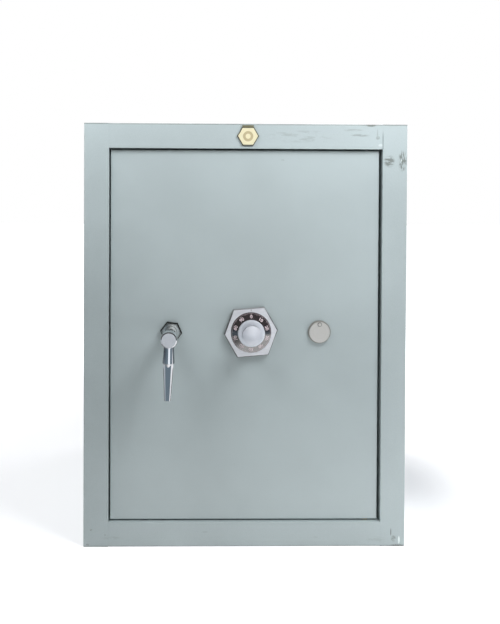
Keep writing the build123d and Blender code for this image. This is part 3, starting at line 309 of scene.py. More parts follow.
WHITE = (1, 1, 1, 1)
PAPER = (0.86, 0.86, 0.86, 1)
floor_paint = material("floor_white", PAPER, roughness=0.9)
path = floor_paint.node_tree.nodes.new("ShaderNodeLightPath")
mirrored = path.outputs["Is Glossy Ray"]
seen = path.outputs["Is Camera Ray"]
across = along(floor_paint, "X")
deep = along(floor_paint, "Y")
sides = calc(floor_paint, "MAXIMUM", span(floor_paint, across, -0.95, -1.2), span(floor_paint, across, 1.8, 2.2))
bare = calc(floor_paint, "MAXIMUM", span(floor_paint, deep, -0.70, -0.84), sides)
# Painted shade in the reflection: the paper is drawn darker towards the left.
shaded = span(floor_paint, across, -0.02, -0.36, 1.25, 0.28)
sheet = mix(floor_paint, shaded, (0, 0, 0, 1), WHITE)
reflected = mix(floor_paint, bare, sheet, (0.15, 0.20, 0.24, 1))
far = calc(floor_paint, "MAXIMUM", span(floor_paint, across, -2.2, -2.6), span(floor_paint, across, 2.2, 2.6))
reflected = mix(floor_paint, far, reflected, (0.06, 0.08, 0.10, 1))
beside = calc(floor_paint, "MULTIPLY", span(floor_paint, across, -0.60, -0.70), span(floor_paint, across, -2.4, -2.2))
beside = calc(floor_paint, "MULTIPLY", beside, span(floor_paint, deep, -0.70, -0.60))
reflected = mix(floor_paint, beside, reflected, (0.46, 0.49, 0.52, 1))
card = calc(floor_paint, "MULTIPLY", card_mask(floor_paint, across, deep), span(floor_paint, deep, -1.45, -1.65))
reflected = mix(floor_paint, card, reflected, (1.05, 1.1, 1.15, 1))
print("floor nodes for reflections:", len(floor_paint.node_tree.nodes))

# %% [markdown]
# ## Floor for the camera
#
# For the camera alone the paper glows, lifted to white as it goes away from the safe. Near the safe it
# glows less, so the soft shadows at both sides stay in view. Beside the safe's right side it glows less
# still, which is a painted shadow.

# %% Floor for the camera
wire(floor_paint, "Base Color", mix(floor_paint, mirrored, PAPER, (0, 0, 0, 1)))
wire(floor_paint, "Emission Color", mix(floor_paint, mirrored, WHITE, reflected))
reach = node(floor_paint, "VectorMath", {0: place(floor_paint)}, out="Value", operation="LENGTH")
lift = span(floor_paint, reach, 0.45, 1.5, 0.37, 1.0)
# A painted shadow: beside the safe's right side the paper glows less.
painted_shadow_right = patch(floor_paint, (0.33, 0.02, 0), (0.16, 0.22, 1), 0.9)
lift = calc(floor_paint, "SUBTRACT", lift, calc(floor_paint, "MULTIPLY", painted_shadow_right, 0.36))
lift = calc(floor_paint, "MULTIPLY", seen, lift)
wire(floor_paint, "Emission Strength", calc(floor_paint, "ADD", lift, mirrored))
floor.data.materials.append(floor_paint)
floor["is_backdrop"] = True
print("floor nodes:", len(floor_paint.node_tree.nodes))

# %% [markdown]
# ## Marks of use on the enamel
#
# Years of use leave scuffs and small chips on the frame, most of them at its right corners. Each mark
# is given by a small ellipsoid in which a noise decides what is worn, so it has its own place, size and
# grain. A table of marks is easier to compare with the photograph than one texture for all of them.

# %% Marks of use on the enamel
ENAMEL = linear(173, 185, 184)
PRIMER = linear(96, 100, 92)
FRONT = -0.225

# Each scuff: centre and size in metres, clouds in a metre, how much is worn, how dark, and the grain
SPOTS = (1, 1, 1)
FLAT = (0.18, 1, 1)
UPRIGHT = (1, 1, 0.2)
SCUFFS = [
    ((0.2324, FRONT, 0.6285), (0.0105, 0.02, 0.0112), 420, 0.42, 0.72, FLAT),
    ((0.2352, FRONT, 0.6300), (0.0026, 0.02, 0.0075), 500, 0.36, 0.52, SPOTS),
    ((0.2542, FRONT, 0.6290), (0.0084, 0.02, 0.0200), 640, 0.45, 0.80, UPRIGHT),
    ((0.2136, FRONT, 0.6663), (0.0042, 0.02, 0.0038), 600, 0.38, 0.40, SPOTS),
    ((0.2130, FRONT, 0.6720), (0.0013, 0.02, 0.0110), 300, 0.36, 0.30, UPRIGHT),
    ((0.1730, FRONT, 0.6785), (0.0190, 0.02, 0.0026), 380, 0.38, 0.26, FLAT),
    ((0.1850, FRONT, 0.6702), (0.0180, 0.02, 0.0024), 380, 0.35, 0.42, FLAT),
    ((0.0900, FRONT, 0.6680), (0.0650, 0.02, 0.0120), 300, 0.50, 0.22, FLAT),
    ((0.2025, FRONT, 0.6866), (0.0095, 0.02, 0.0032), 900, 0.34, 0.72, SPOTS),
    ((0.2395, FRONT, 0.0231), (0.0012, 0.02, 0.0078), 300, 0.28, 0.72, UPRIGHT),
    ((0.2440, FRONT, 0.0125), (0.0052, 0.02, 0.0066), 700, 0.42, 0.50, SPOTS),
    ((0.2160, FRONT, 0.0110), (0.0190, 0.02, 0.0060), 420, 0.46, 0.14, FLAT),
    ((0.2500, FRONT, 0.0010), (0.0150, 0.02, 0.0026), 600, 0.40, 0.80, SPOTS),
    ((-0.2494, FRONT, 0.0276), (0.0022, 0.02, 0.0018), 500, 0.35, 0.60, SPOTS),
    ((-0.2267, FRONT, 0.0194), (0.0016, 0.02, 0.0014), 500, 0.35, 0.50, SPOTS),
    ((-0.2550, FRONT, 0.0035), (0.0030, 0.02, 0.0022), 700, 0.40, 0.70, SPOTS),
    ((-0.2185, FRONT, 0.0144), (0.0200, 0.02, 0.0030), 420, 0.44, 0.18, FLAT),
    ((-0.0642, FRONT, 0.0239), (0.0060, 0.02, 0.0012), 420, 0.40, 0.22, FLAT),
    ((0.1154, FRONT, 0.0152), (0.0060, 0.02, 0.0012), 420, 0.40, 0.22, FLAT),
    ((0.0600, -0.220, 0.6300), (0.0040, 0.02, 0.0016), 500, 0.40, 0.25, SPOTS),
]
# Each pale chip: centre and size in metres, and how pale
CHIPS = [
    ((0.2529, FRONT, 0.0102), (0.0019, 0.02, 0.0080), 1.0),
    ((0.2180, FRONT, 0.6545), (0.0046, 0.02, 0.0030), 0.32),
    ((0.2520, FRONT, 0.6300), (0.0012, 0.02, 0.0022), 0.6),
]
print("scuffs:", len(SCUFFS), "pale chips:", len(CHIPS))

# %% [markdown]
# ## Worn places
#
# Two kinds of wear go down to the primer: the scuffs of the table, and the outer corners, which rub on
# door frames when a safe is moved. A corner is where the surface is near two outer faces at once, and
# that needs no edge detection.

# %% Worn places
def scuffed(mat):
    """1 where one of the scuffs has worn the paint."""
    worn = None
    for centre, size, clouds, level, depth, way in SCUFFS:
        inside = patch(mat, centre, size)
        eaten = span(mat, noise(mat, clouds, 3, 0.65, way), level, level + 0.10)
        mark = calc(mat, "MULTIPLY", calc(mat, "MULTIPLY", inside, eaten), depth)
        worn = mark if worn is None else calc(mat, "MAXIMUM", worn, mark)
    return worn


def rubbed(mat):
    """Rubbed corners of the body: near two outer faces at once, where a noise lets it."""
    outer_x = span(mat, calc(mat, "ABSOLUTE", along(mat, "X")), 0.2600, 0.2618)
    outer_y = span(mat, along(mat, "Y"), -0.2232, -0.2248)
    height = along(mat, "Z")
    outer_z = calc(mat, "MAXIMUM", span(mat, height, 0.0016, 0.0002), span(mat, height, 0.6864, 0.6878))
    two = calc(mat, "MAXIMUM", calc(mat, "MULTIPLY", outer_x, outer_y), calc(mat, "MULTIPLY", outer_z, outer_y))
    two = calc(mat, "MAXIMUM", two, calc(mat, "MULTIPLY", outer_x, outer_z))
    chips = span(mat, noise(mat, 120, 4, 0.7), 0.60, 0.68)
    return calc(mat, "MULTIPLY", calc(mat, "MULTIPLY", two, chips), 0.6)


print("kinds of wear: scuffs and rubbed corners")

# %% [markdown]
# ## Edge shade, chips and seams
#
# Painted shade darkens the top and bottom edges of the front: a thin dark line at the top and a contact
# shade at the foot. The stiles run the whole height and the rails butt between them, so filler covers
# four seams, and at the top right it has cracked open.

# %% Edge shade, chips and seams
def painted_edge_shade(mat):
    """Painted shade along the top and bottom edges of the front: a dark line at the top, a contact shade at the foot.
    """
    height = along(mat, "Z")
    rim = calc(mat, "MAXIMUM", span(mat, height, 0.0022, 0.0014), span(mat, height, 0.6856, 0.6864))
    rim = calc(mat, "MULTIPLY", rim, span(mat, along(mat, "Y"), -0.2200, -0.2240))
    return calc(mat, "MULTIPLY", rim, span(mat, noise(mat, 25, 3, 0.6), 0.25, 0.60, 0.34, 0.52))


def chipped(mat, shade):
    """Small chips that show pale filler."""
    for centre, size, pale_share in CHIPS:
        bare = calc(mat, "MULTIPLY", patch(mat, centre, size), span(mat, noise(mat, 700, 3, 0.6), 0.30, 0.42))
        shade = mix(mat, calc(mat, "MULTIPLY", bare, pale_share), shade, linear(236, 244, 240))
    return shade


def seam_line(mat):
    """The four seams of the frame's corners."""
    off = calc(mat, "ABSOLUTE", calc(mat, "SUBTRACT", calc(mat, "ABSOLUTE", along(mat, "X")), 0.222))
    height = along(mat, "Z")
    rails = calc(mat, "MAXIMUM", span(mat, height, 0.0402, 0.0398), span(mat, height, 0.6478, 0.6482))
    return calc(mat, "MULTIPLY", span(mat, off, 0.0013, 0.0004), rails)


def seam_filled(mat):
    """How dark a seam is: hardly at all, but more where the filler has cracked."""
    height = along(mat, "Z")
    opened = calc(mat, "MULTIPLY", span(mat, along(mat, "X"), 0.1, 0.2), span(mat, height, 0.6, 0.62))
    opened = calc(mat, "MULTIPLY", opened, span(mat, height, 0.680, 0.666))
    return calc(mat, "ADD", calc(mat, "MULTIPLY", opened, 0.75), 0.04)


print("seams at x in mm:", [-222, 222])

# %% [markdown]
# ## Sage enamel
#
# The outside is sprayed steel in a satin sage grey. Sprayed enamel isn't flat: it has a fine orange
# peel, a colour that drifts a little over a panel, and a grain that catches the light. Two bumps in a
# row make the peel and the grain, and a third lets worn places lie lower.

# %% Sage enamel
def enamel(name, color, seams=False):
    """Satin enamel with peel, drift and wear. Seams draw the joints of the frame's corners."""
    mat = material(name, color, roughness=0.36, Specular_IOR_Level=0.7)
    grain = noise(mat, 1500, 2, 0.6)
    tone = [channel * 0.945 for channel in color[:3]] + [1]
    pale = [min(1, channel * 1.045) for channel in color[:3]] + [1]
    shade = mix(mat, span(mat, noise(mat, 5, 3, 0.55), 0.30, 0.70), tone, pale)
    shade = mix(mat, span(mat, grain, 0.35, 0.75, 0, 0.10), shade, (0.9, 0.93, 0.93, 1))
    shade = mix(mat, span(mat, noise(mat, 260, 3, 0.6), 0.62, 0.85, 0, 0.12), shade, PRIMER)
    worn = calc(mat, "MAXIMUM", scuffed(mat), rubbed(mat))
    shade = mix(mat, worn, shade, PRIMER)
    # The top and bottom edges take painted shade in the primer colour.
    shade = chipped(mat, mix(mat, painted_edge_shade(mat), shade, PRIMER))

    normal = bump(mat, noise(mat, 520, 2, 0.5), 0.00006, 0.55)
    normal = bump(mat, grain, 0.00002, 0.6, normal)
    normal = bump(mat, calc(mat, "SUBTRACT", 1, worn), 0.00015, 0.6, normal)
    if seams:
        line = seam_line(mat)
        shade = mix(mat, calc(mat, "MULTIPLY", line, seam_filled(mat)), shade, linear(118, 130, 132))
        normal = bump(mat, calc(mat, "SUBTRACT", 1, line), 0.00012, 0.5, normal)
    sheen_drift = span(mat, noise(mat, 30, 3, 0.6), 0.3, 0.7, 0.32, 0.41)
    wire(mat, "Base Color", shade)
    wire(mat, "Roughness", calc(mat, "ADD", sheen_drift, calc(mat, "MULTIPLY", worn, 0.25)))
    wire(mat, "Normal", normal)
    return mat


finishes = {"enamel": enamel("enamel_sage", ENAMEL)}
frame_enamel = enamel("enamel_frame", ENAMEL, seams=True)
print("enamel nodes:", len(finishes["enamel"].node_tree.nodes), "with seams:", len(frame_enamel.node_tree.nodes))

# %% [markdown]
# ## Inner paint
#
# The inside has a darker hammered paint, which hides fingerprints and weld marks. Its dimples come from
# a cell noise: each cell is a shallow dish.

# %% Inner paint
def hammered(name, color):
    """A hammered paint: shallow dishes a few millimetres across."""
    mat = material(name, color, roughness=0.40)
    cells = node(mat, "TexVoronoi", {"Vector": place(mat), "Scale": 330.0}, feature="SMOOTH_F1")
    wobble = noise(mat, 160, 3, 0.6)
    dish = calc(mat, "ADD", cells, calc(mat, "MULTIPLY", wobble, 0.4))
    lighter = [min(1, channel * 1.35) for channel in color[:3]] + [1]
    drift = span(mat, noise(mat, 6, 3, 0.5), 0.3, 0.7, 0.0, 0.3)
    shade = mix(mat, span(mat, dish, 0.3, 0.9, 0.0, 0.45), color, lighter)
    wire(mat, "Base Color", mix(mat, drift, shade, lighter))
    wire(mat, "Roughness", span(mat, wobble, 0.3, 0.7, 0.32, 0.5))
    wire(mat, "Normal", bump(mat, dish, 0.00025, 0.6))
    return mat


finishes["inner_paint"] = hammered("inner_paint_grey", linear(118, 126, 128))
print("finishes:", sorted(finishes))

# %% [markdown]
# ## Mineral filling
#
# Between its outer and inner shells a safe is filled with a cast mineral mass against fire. It is pale
# and sandy, with small pores that a second cell noise draws.

# %% Mineral filling
def mineral(name, color):
    """A sandy cast filling with small pores."""
    mat = material(name, color, roughness=0.92)
    sand = noise(mat, 900, 4, 0.7)
    pores = node(mat, "TexVoronoi", {"Vector": place(mat), "Scale": 180.0})
    dark = [channel * 0.7 for channel in color[:3]] + [1]
    shade = mix(mat, span(mat, sand, 0.35, 0.65), dark, color)
    wire(mat, "Base Color", mix(mat, span(mat, pores, 0.18, 0.08), shade, dark))
    wire(mat, "Roughness", span(mat, sand, 0.3, 0.7, 0.85, 0.98))
    wire(mat, "Normal", bump(mat, calc(mat, "ADD", sand, span(mat, pores, 0.05, 0.2)), 0.0004, 0.7))
    return mat


finishes["mineral_filling"] = mineral("filling_pale", linear(190, 184, 172))
print("finishes:", sorted(finishes))

# %% [markdown]
# ## Painted side shade and distances
#
# The bevel and sides of a fitting lie in shade, so a painted shade is drawn by depth: it starts a hair
# behind the front face. Round pieces need the distance from their axis, which runs along the depth.

# %% Painted side shade and distances
def painted_side_shade(mat, shade, front, lighter_above):
    """Painted shade on all that lies more than a hair behind a front face, less of it above a given height."""
    thick = span(mat, noise(mat, 140, 3, 0.6), 0.25, 0.6, 0.70, 0.95)
    thick = calc(mat, "MULTIPLY", thick, span(mat, along(mat, "Z"), lighter_above, lighter_above + 0.002, 1.0, 0.55))
    behind = span(mat, along(mat, "Y"), front + 0.0002, front + 0.0008)
    return mix(mat, calc(mat, "MULTIPLY", behind, thick), shade, linear(58, 56, 50))


def radius_from(mat, axis_x, axis_z):
    """The distance from an axis along the depth."""
    side = calc(mat, "SUBTRACT", along(mat, "X"), axis_x)
    rise = calc(mat, "SUBTRACT", along(mat, "Z"), axis_z)
    squares = calc(mat, "ADD", calc(mat, "MULTIPLY", side, side), calc(mat, "MULTIPLY", rise, rise))
    return calc(mat, "SQRT", squares)


# The darkening behind a front face is painted shade.
print("grime starts behind a front face by 0.2 mm")

# %% [markdown]
# ## Ground, plated and satin metal
#
# Metal takes its look from its roughness and its tool marks more than from its colour. Rolled, ground
# and brushed metal has streaks along one direction: a fine noise that is squeezed along the streaks.

# %% Ground, plated and satin metal
def streaked(name, color, roughness, stretch, depth=0.00001, stain=0.25, shaded_sides=None, outside=None, metallic=1.0):
    """Metal with fine streaks. The stretch is small along the streaks and 1 across them.

    Shaded sides gives the depth of a front face and a height: painted shade fills the bevel and the sides.
    Outside gives an axis and a radius, and beyond it a painted dark rim darkens the face.
    """
    mat = material(name, color, metallic=metallic, roughness=roughness)
    lines = noise(mat, 2600, 3, 0.6, stretch)
    broad = noise(mat, 300, 3, 0.6, stretch, (0.3, 0.1, 0.2))
    smear = noise(mat, 22, 4, 0.6)
    dark = [channel * 0.72 for channel in color[:3]] + [1]
    shade = mix(mat, span(mat, lines, 0.35, 0.65, 0.35, 0.0), color, dark)
    shade = mix(mat, span(mat, smear, 0.5, 0.75, 0.0, stain), shade, dark)
    # A painted dark rim beyond a radius from the axis.
    if outside is not None:
        wavy = calc(mat, "MULTIPLY", noise(mat, 260, 3, 0.6), 0.004)
        away = calc(mat, "ADD", radius_from(mat, *outside[:2]), wavy)
        shade = mix(mat, span(mat, away, outside[2], outside[2] + 0.003, 0.0, 0.55), shade, linear(62, 66, 66))
    # Painted shade on the sides behind the front face.
    if shaded_sides is not None:
        shade = painted_side_shade(mat, shade, *shaded_sides)
    wire(mat, "Base Color", shade)
    worn = span(mat, smear, 0.45, 0.75, 0.0, 0.10)
    wire(mat, "Roughness", calc(mat, "ADD", span(mat, broad, 0.3, 0.7, roughness - 0.05, roughness + 0.07), worn))
    wire(mat, "Normal", bump(mat, lines, depth, 0.7))
    return mat


STEEL = linear(178, 180, 182)
ZINC = linear(196, 198, 194)
finishes["plain_steel"] = streaked("steel_ground", STEEL, 0.34, (1, 1, 0.05))
finishes["zinc_steel"] = streaked("steel_zinc_plated", ZINC, 0.30, (0.3, 0.3, 0.3), stain=0.4)
bolt_steel = streaked("steel_bolt", linear(206, 207, 208), 0.20, (0.05, 1, 1), stain=0.15)
print("steel nodes:", len(finishes["plain_steel"].node_tree.nodes))

# %% [markdown]
# ## Turned metal
#
# The knob, the keyhole cover and the brass parts were cut on a lathe, which leaves fine rings round
# their axis. A noise that reads only the distance from the axis and the depth draws those rings.

# %% Turned metal
def turned(name, color, roughness, axis_x, axis_z, metallic=1.0, depth=0.000008, neck=None, rivet=None):
    """A turned or spun face: rings round an axis along the depth at (x, z).

    Neck gives a span of depth that is darkened, most of all above the axis: a painted dark reflection.
    Rivet gives the axis and the radius of a head with a painted shadow line round it.
    """
    mat = material(name, color, metallic=metallic, roughness=roughness)
    ring_coords = node(mat, "CombineXYZ", {0: radius_from(mat, axis_x, axis_z), 1: along(mat, "Y")})
    rings = node(mat, "TexNoise", {"Vector": ring_coords, "Scale": 2600.0, "Detail": 3.0, "Roughness": 0.6})
    dark = [channel * 0.8 for channel in color[:3]] + [1]
    shade = mix(mat, span(mat, rings, 0.35, 0.65, 0.30, 0.0), color, dark)
    shade = mix(mat, span(mat, noise(mat, 60, 4, 0.6), 0.5, 0.8, 0.0, 0.25), shade, dark)
    if neck is not None:
        # The neck is darkened most above the axis, a painted dark reflection of the dial.
        deep = along(mat, "Y")
        inside = calc(mat, "MULTIPLY", span(mat, deep, neck[0] - 0.0003, neck[0]), span(mat, deep, neck[1] + 0.0003, neck[1]))
        inside = calc(mat, "MULTIPLY", inside, span(mat, along(mat, "Z"), axis_z - 0.010, axis_z + 0.006, 0.2, 1.0))
        shade = mix(mat, calc(mat, "MULTIPLY", inside, 0.62), shade, linear(64, 68, 74))
    if rivet is not None:
        # A painted shadow line round the rivet's head.
        off = calc(mat, "ABSOLUTE", calc(mat, "SUBTRACT", radius_from(mat, *rivet[:2]), rivet[2]))
        shade = mix(mat, span(mat, off, 0.0009, 0.0002, 0.0, 0.7), shade, linear(84, 82, 78))
    wire(mat, "Base Color", shade)
    wire(mat, "Roughness", span(mat, rings, 0.3, 0.7, roughness - 0.05, roughness + 0.06))
    wire(mat, "Normal", bump(mat, rings, depth, 0.6))
    return mat


def centre_of(name):
    """The middle of a piece as seen from the front, as (x, z)."""
    low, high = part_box(name)
    return ((low[0] + high[0]) / 2, (low[2] + high[2]) / 2)


dial_centre = centre_of("dial_plate")
cover_centre = centre_of("keyhole_cover")
lever_centre = centre_of("lever_rosette")
finishes["brass"] = turned("brass_turned", linear(206, 172, 104), 0.30, *dial_centre)
finishes["dark_nickel"] = turned("nickel_dark", linear(166, 164, 158), 0.36, *cover_centre)
print("dial centre in mm:", [round(1000 * value, 1) for value in dial_centre])

# %% [markdown]
# ## Cast zinc
#
# Small lock parts are die-cast. The metal flows in and sets at once, which leaves a dull skin with faint
# pits and flow marks along the part.

# %% Cast zinc
def cast(name, color):
    """A die-cast metal with a dull, faintly pitted skin."""
    mat = material(name, color, metallic=0.9, roughness=0.5)
    flow = noise(mat, 45, 3, 0.5, (1, 1, 0.3))
    dark = [channel * 0.75 for channel in color[:3]] + [1]
    wire(mat, "Base Color", mix(mat, span(mat, flow, 0.35, 0.7, 0.0, 0.5), color, dark))
    wire(mat, "Roughness", span(mat, flow, 0.3, 0.7, 0.42, 0.56))
    wire(mat, "Normal", bump(mat, noise(mat, 1200, 4, 0.7), 0.00006, 0.5))
    return mat


finishes["cast_zinc"] = cast("zinc_cast", linear(182, 184, 186))
print("cast zinc nodes:", len(finishes["cast_zinc"].node_tree.nodes))

# %% [markdown]
# ## Painted dark edges on the lever's grip
#
# The grip hangs from its hub, leans a little and tapers. Its outer side edges carry a painted dark line, a
# painted reflection that outlines the chrome against the door. The line follows the half width of the grip,
# and that goes evenly with the height.

# %% Painted dark edges on the lever's grip
def side_line(mat, side, below, top, bottom, edge, start, end):
    """A painted dark line just inside a half width that runs from top to bottom, between two heights."""
    inputs = {"Value": below, "From Min": top[0], "From Max": bottom[0], "To Min": top[1], "To Max": bottom[1]}
    half = node(mat, "MapRange", inputs)
    line = span(mat, calc(mat, "SUBTRACT", side, half), *edge)
    line = calc(mat, "MULTIPLY", line, span(mat, below, *start))
    return line if end is None else calc(mat, "MULTIPLY", line, span(mat, below, *end))


def painted_grip_edges(mat, shade, axis_x, axis_z, lean):
    """Painted dark reflection along the grip's side edges and along the sides of the cone above it."""
    below = calc(mat, "SUBTRACT", axis_z, along(mat, "Z"))
    side = calc(mat, "SUBTRACT", along(mat, "X"), axis_x)
    side = calc(mat, "ABSOLUTE", calc(mat, "ADD", side, calc(mat, "MULTIPLY", below, lean)))
    line = side_line(mat, side, below, (0.036, 0.0080), (0.0935, 0.0049), (-0.0013, -0.0005), (0.040, 0.046), None)
    shade = mix(mat, calc(mat, "MULTIPLY", line, 0.75), shade, linear(52, 58, 66))
    cone = side_line(mat, side, below, (0.009, 0.0076), (0.036, 0.0093), (-0.0032, -0.0016), (0.0365, 0.0355), (0.009, 0.012))
    return mix(mat, calc(mat, "MULTIPLY", cone, 0.7), shade, linear(58, 70, 84))


print("lever axis in mm:", [round(1000 * value, 1) for value in lever_centre])

# %% [markdown]
# ## Chrome
#
# Chrome plate is nearly a mirror, with wipe marks and hair scratches. The flat end of the lever's hub is
# brushed to a satin instead, so its front face is rougher than the rest.

# %% Chrome
def polished(name, color, roughness, face=None, hang=None):
    """Chrome plate. Face is the depth of a brushed front face, hang the axis and lean of a grip."""
    mat = material(name, color, metallic=1.0, roughness=roughness)
    wipe = noise(mat, 90, 4, 0.65, (1, 1, 0.4))
    dim = [channel * 0.88 for channel in color[:3]] + [1]
    shade = mix(mat, span(mat, wipe, 0.45, 0.75, 0.0, 0.6), color, dim)
    if hang is not None:
        shade = painted_grip_edges(mat, shade, *hang)
    wire(mat, "Base Color", shade)
    rough = span(mat, wipe, 0.35, 0.75, roughness, roughness + 0.09)
    if face is not None:
        brushed = span(mat, along(mat, "Y"), face + 0.0004, face + 0.0001)
        rough = calc(mat, "MAXIMUM", rough, calc(mat, "MULTIPLY", brushed, 0.36))
        wire(mat, "Metallic", span(mat, brushed, 0.0, 1.0, 1.0, 0.6))
    wire(mat, "Roughness", rough)
    wire(mat, "Normal", bump(mat, noise(mat, 2200, 2, 0.5, (1, 1, 0.06)), 0.000004, 0.35))
    return mat


CHROME = linear(226, 228, 232)
finishes["chrome"] = polished("chrome_polished", CHROME, 0.045)
hub_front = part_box("lever_handle")[0][1]
lever_chrome = polished("chrome_lever", CHROME, 0.05, face=hub_front, hang=(*lever_centre, 0.021))
print("hub face at y in mm:", round(1000 * hub_front, 1))

# %% [markdown]
# ## Metals of the controls
#
# Each control on the door has a finish of its own: a satin ring with painted shade behind its front edge,
# a brushed knob with a painted dark reflection in its neck, a nickel keyhole cover with a rivet ringed by a
# painted shadow line, and a rosette under the lever with painted shade on its sides and a painted dark rim.

# %% Metals of the controls
ring_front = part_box("dial_ring")[0][1]
axis_height = dial_centre[1]
# The ring's bevel and sides take painted shade, less of it on the top side.
ring_side_shade = (ring_front, axis_height + 0.03)
finishes["satin_chrome"] = streaked("chrome_satin", linear(247, 247, 250), 0.40, (0.04, 1, 1), stain=0.15, shaded_sides=ring_side_shade, metallic=0.68)

# The rivet's edge gets a painted shadow line.
rivet_low, rivet_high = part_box("cover_rivet")
rivet_edge = (*centre_of("cover_rivet"), (rivet_high[0] - rivet_low[0]) / 2)
finishes["nickel"] = turned("nickel_brushed", linear(228, 225, 219), 0.42, *cover_centre, metallic=0.8, rivet=rivet_edge)

knob_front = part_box("dial_knob")[0][1]
# The knob's neck takes a painted dark reflection.
knob_neck = (knob_front + 0.0024, knob_front + 0.0172)
knob_chrome = turned("chrome_knob", linear(236, 239, 245), 0.38, *dial_centre, metallic=0.48, neck=knob_neck)

# The rosette's sides take painted shade.
rosette_side_shade = (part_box("lever_rosette")[0][1], axis_height + 0.05)
# Beyond this radius the rosette gets a painted dark rim.
painted_rim_edge = (*lever_centre, 0.0135)
rosette_chrome = streaked("chrome_rosette", linear(200, 206, 205), 0.27, (1, 1, 1), shaded_sides=rosette_side_shade, outside=painted_rim_edge)
print("finishes:", len(finishes))

# %% [markdown]
# ## Gloss enamels
#
# The dial is black gloss enamel with a hard clear top, and the badge is a cream enamel field in a dark
# olive border. A coat over the base gives the hard top, and a strong coat lets the dial mirror the floor
# on its lower half, as the real one does.

# %% Gloss enamels
def gloss(name, color, roughness, peel_depth=0.00001, coat=0.6, coat_ior=1.5):
    """A hard gloss enamel with a faint peel and dust."""
    mat = material(name, color, roughness=roughness, Coat_Weight=coat, Coat_Roughness=0.08, Coat_IOR=coat_ior)
    dust = noise(mat, 700, 4, 0.7)
    cloud = noise(mat, 80, 3, 0.5)
    lighter = [channel * 0.85 + 0.10 for channel in color[:3]] + [1]
    darker = [channel * 0.88 for channel in color[:3]] + [1]
    shade = mix(mat, span(mat, cloud, 0.35, 0.7, 0, 0.6), color, darker)
    wire(mat, "Base Color", mix(mat, span(mat, dust, 0.62, 0.8, 0, 0.25), shade, lighter))
    wire(mat, "Roughness", span(mat, dust, 0.4, 0.8, roughness, roughness + 0.15))
    wire(mat, "Normal", bump(mat, cloud, peel_depth, 0.5))
    return mat


finishes["dial_black"] = gloss("dial_enamel_black", linear(36, 25, 29), 0.24, coat=1.0, coat_ior=3.1)
finishes["cream_enamel"] = gloss("badge_enamel_olive", linear(62, 60, 36), 0.30)
olive_lip = gloss("badge_enamel_lip", linear(104, 102, 74), 0.34)
cream = gloss("badge_enamel_cream", linear(228, 220, 182), 0.28)
tan = gloss("badge_enamel_tan", linear(188, 174, 134), 0.32)
ink = gloss("dial_ink_white", linear(232, 214, 216), 0.35)
mark_paint = gloss("index_paint_dark", linear(70, 66, 66), 0.40)
print("materials:", len(bpy.data.materials))

# %% [markdown]
# ## Finishes on the CAD pieces
#
# The record names a material slot for each CAD piece, and most pieces take that slot's finish as it is.
# The frame, the bolts and the controls get a finish of their own, because their grain runs another way
# or their wear has its own place.

# %% Finishes on the CAD pieces
slot_of = {part["node"]: part["material_slot"] for part in frame["record"]["subparts"]}
special = {
    "frame_left_stile": frame_enamel,
    "frame_right_stile": frame_enamel,
    "frame_top_rail": frame_enamel,
    "frame_bottom_rail": frame_enamel,
    "locking_bolts": bolt_steel,
    "hinge_dogs": bolt_steel,
    "dial_knob": knob_chrome,
    "lever_handle": lever_chrome,
    "lever_rosette": rosette_chrome,
}
for name, piece in nodes.items():
    finish = special.get(name, finishes[slot_of[name]])
    piece.data.materials.clear()
    piece.data.materials.append(finish)
print("CAD pieces finished:", len(nodes))

# %% [markdown]
# ## From bmesh to piece
#
# New pieces are shaped with bmesh operators at their place on the safe. Each then becomes an object at
# the origin that rides on a CAD body and carries its finish.

# %% From bmesh to piece
def to_object(mesh, name, finish, body):
    """Turns a bmesh into a piece that rides on a CAD body."""
    data = bpy.data.meshes.new(name)
    mesh.to_mesh(data)
    mesh.free()
    data.materials.append(finish)
    piece = bpy.data.objects.new(name, data)
    bpy.context.scene.collection.objects.link(piece)
    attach(piece, body)
    return piece


def thicken(mesh, vector):
    """Extrudes all the faces of a flat bmesh along a vector."""
    made = bmesh.ops.extrude_face_region(mesh, geom=mesh.faces[:])
    moved = [part for part in made["geom"] if isinstance(part, bmesh.types.BMVert)]
    bmesh.ops.translate(mesh, vec=vector, verts=moved)
    bmesh.ops.recalc_face_normals(mesh, faces=mesh.faces[:])


def facing_front(x, y, z):
    """A frame at a point whose local z faces the front and whose local y is up."""
    return Matrix.Translation((x, y, z)) @ Matrix.Rotation(radians(90), 4, "X")


# %% [markdown]
# ## Badge field
#
# The badge is a small hexagonal plate on the top rail. The CAD plate gives its body and its olive edge.
# A thinner cream field lies on it, and its top side is set lower, so a broad band of olive stays in view
# there. A circle with six segments has a corner at the top, so a turn of 30 degrees brings a flat side
# there.

# %% Badge field
badge_low, badge_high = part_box("badge_plate")
badge_x, badge_z = centre_of("badge_plate")
badge_front = badge_low[1]
FIELD_THICKNESS = 0.0003
BAND = 0.0012

field = bmesh.new()
turn = facing_front(badge_x, badge_front, badge_z) @ Matrix.Rotation(radians(30), 4, "Z")
bmesh.ops.create_circle(field, cap_ends=True, segments=6, radius=0.0162, matrix=turn)
top_pair = sorted(field.verts, key=lambda vert: vert.co.z)[-2:]
for corner in top_pair:
    inward = -BAND / 3**0.5 if corner.co.x < badge_x else BAND / 3**0.5
    corner.co += Vector((inward, 0, -BAND))
thicken(field, (0, -FIELD_THICKNESS, 0))
badge_field = to_object(field, "badge_field", cream, "safe_body")
print("badge field faces:", len(badge_field.data.polygons))

# %% [markdown]
# ## Badge ring
#
# A flat tan ring is the badge's only ornament. Its outer edge is a circle, which is extruded and scaled
# inwards to make a band, and the band is then given a tenth of a millimetre of thickness.

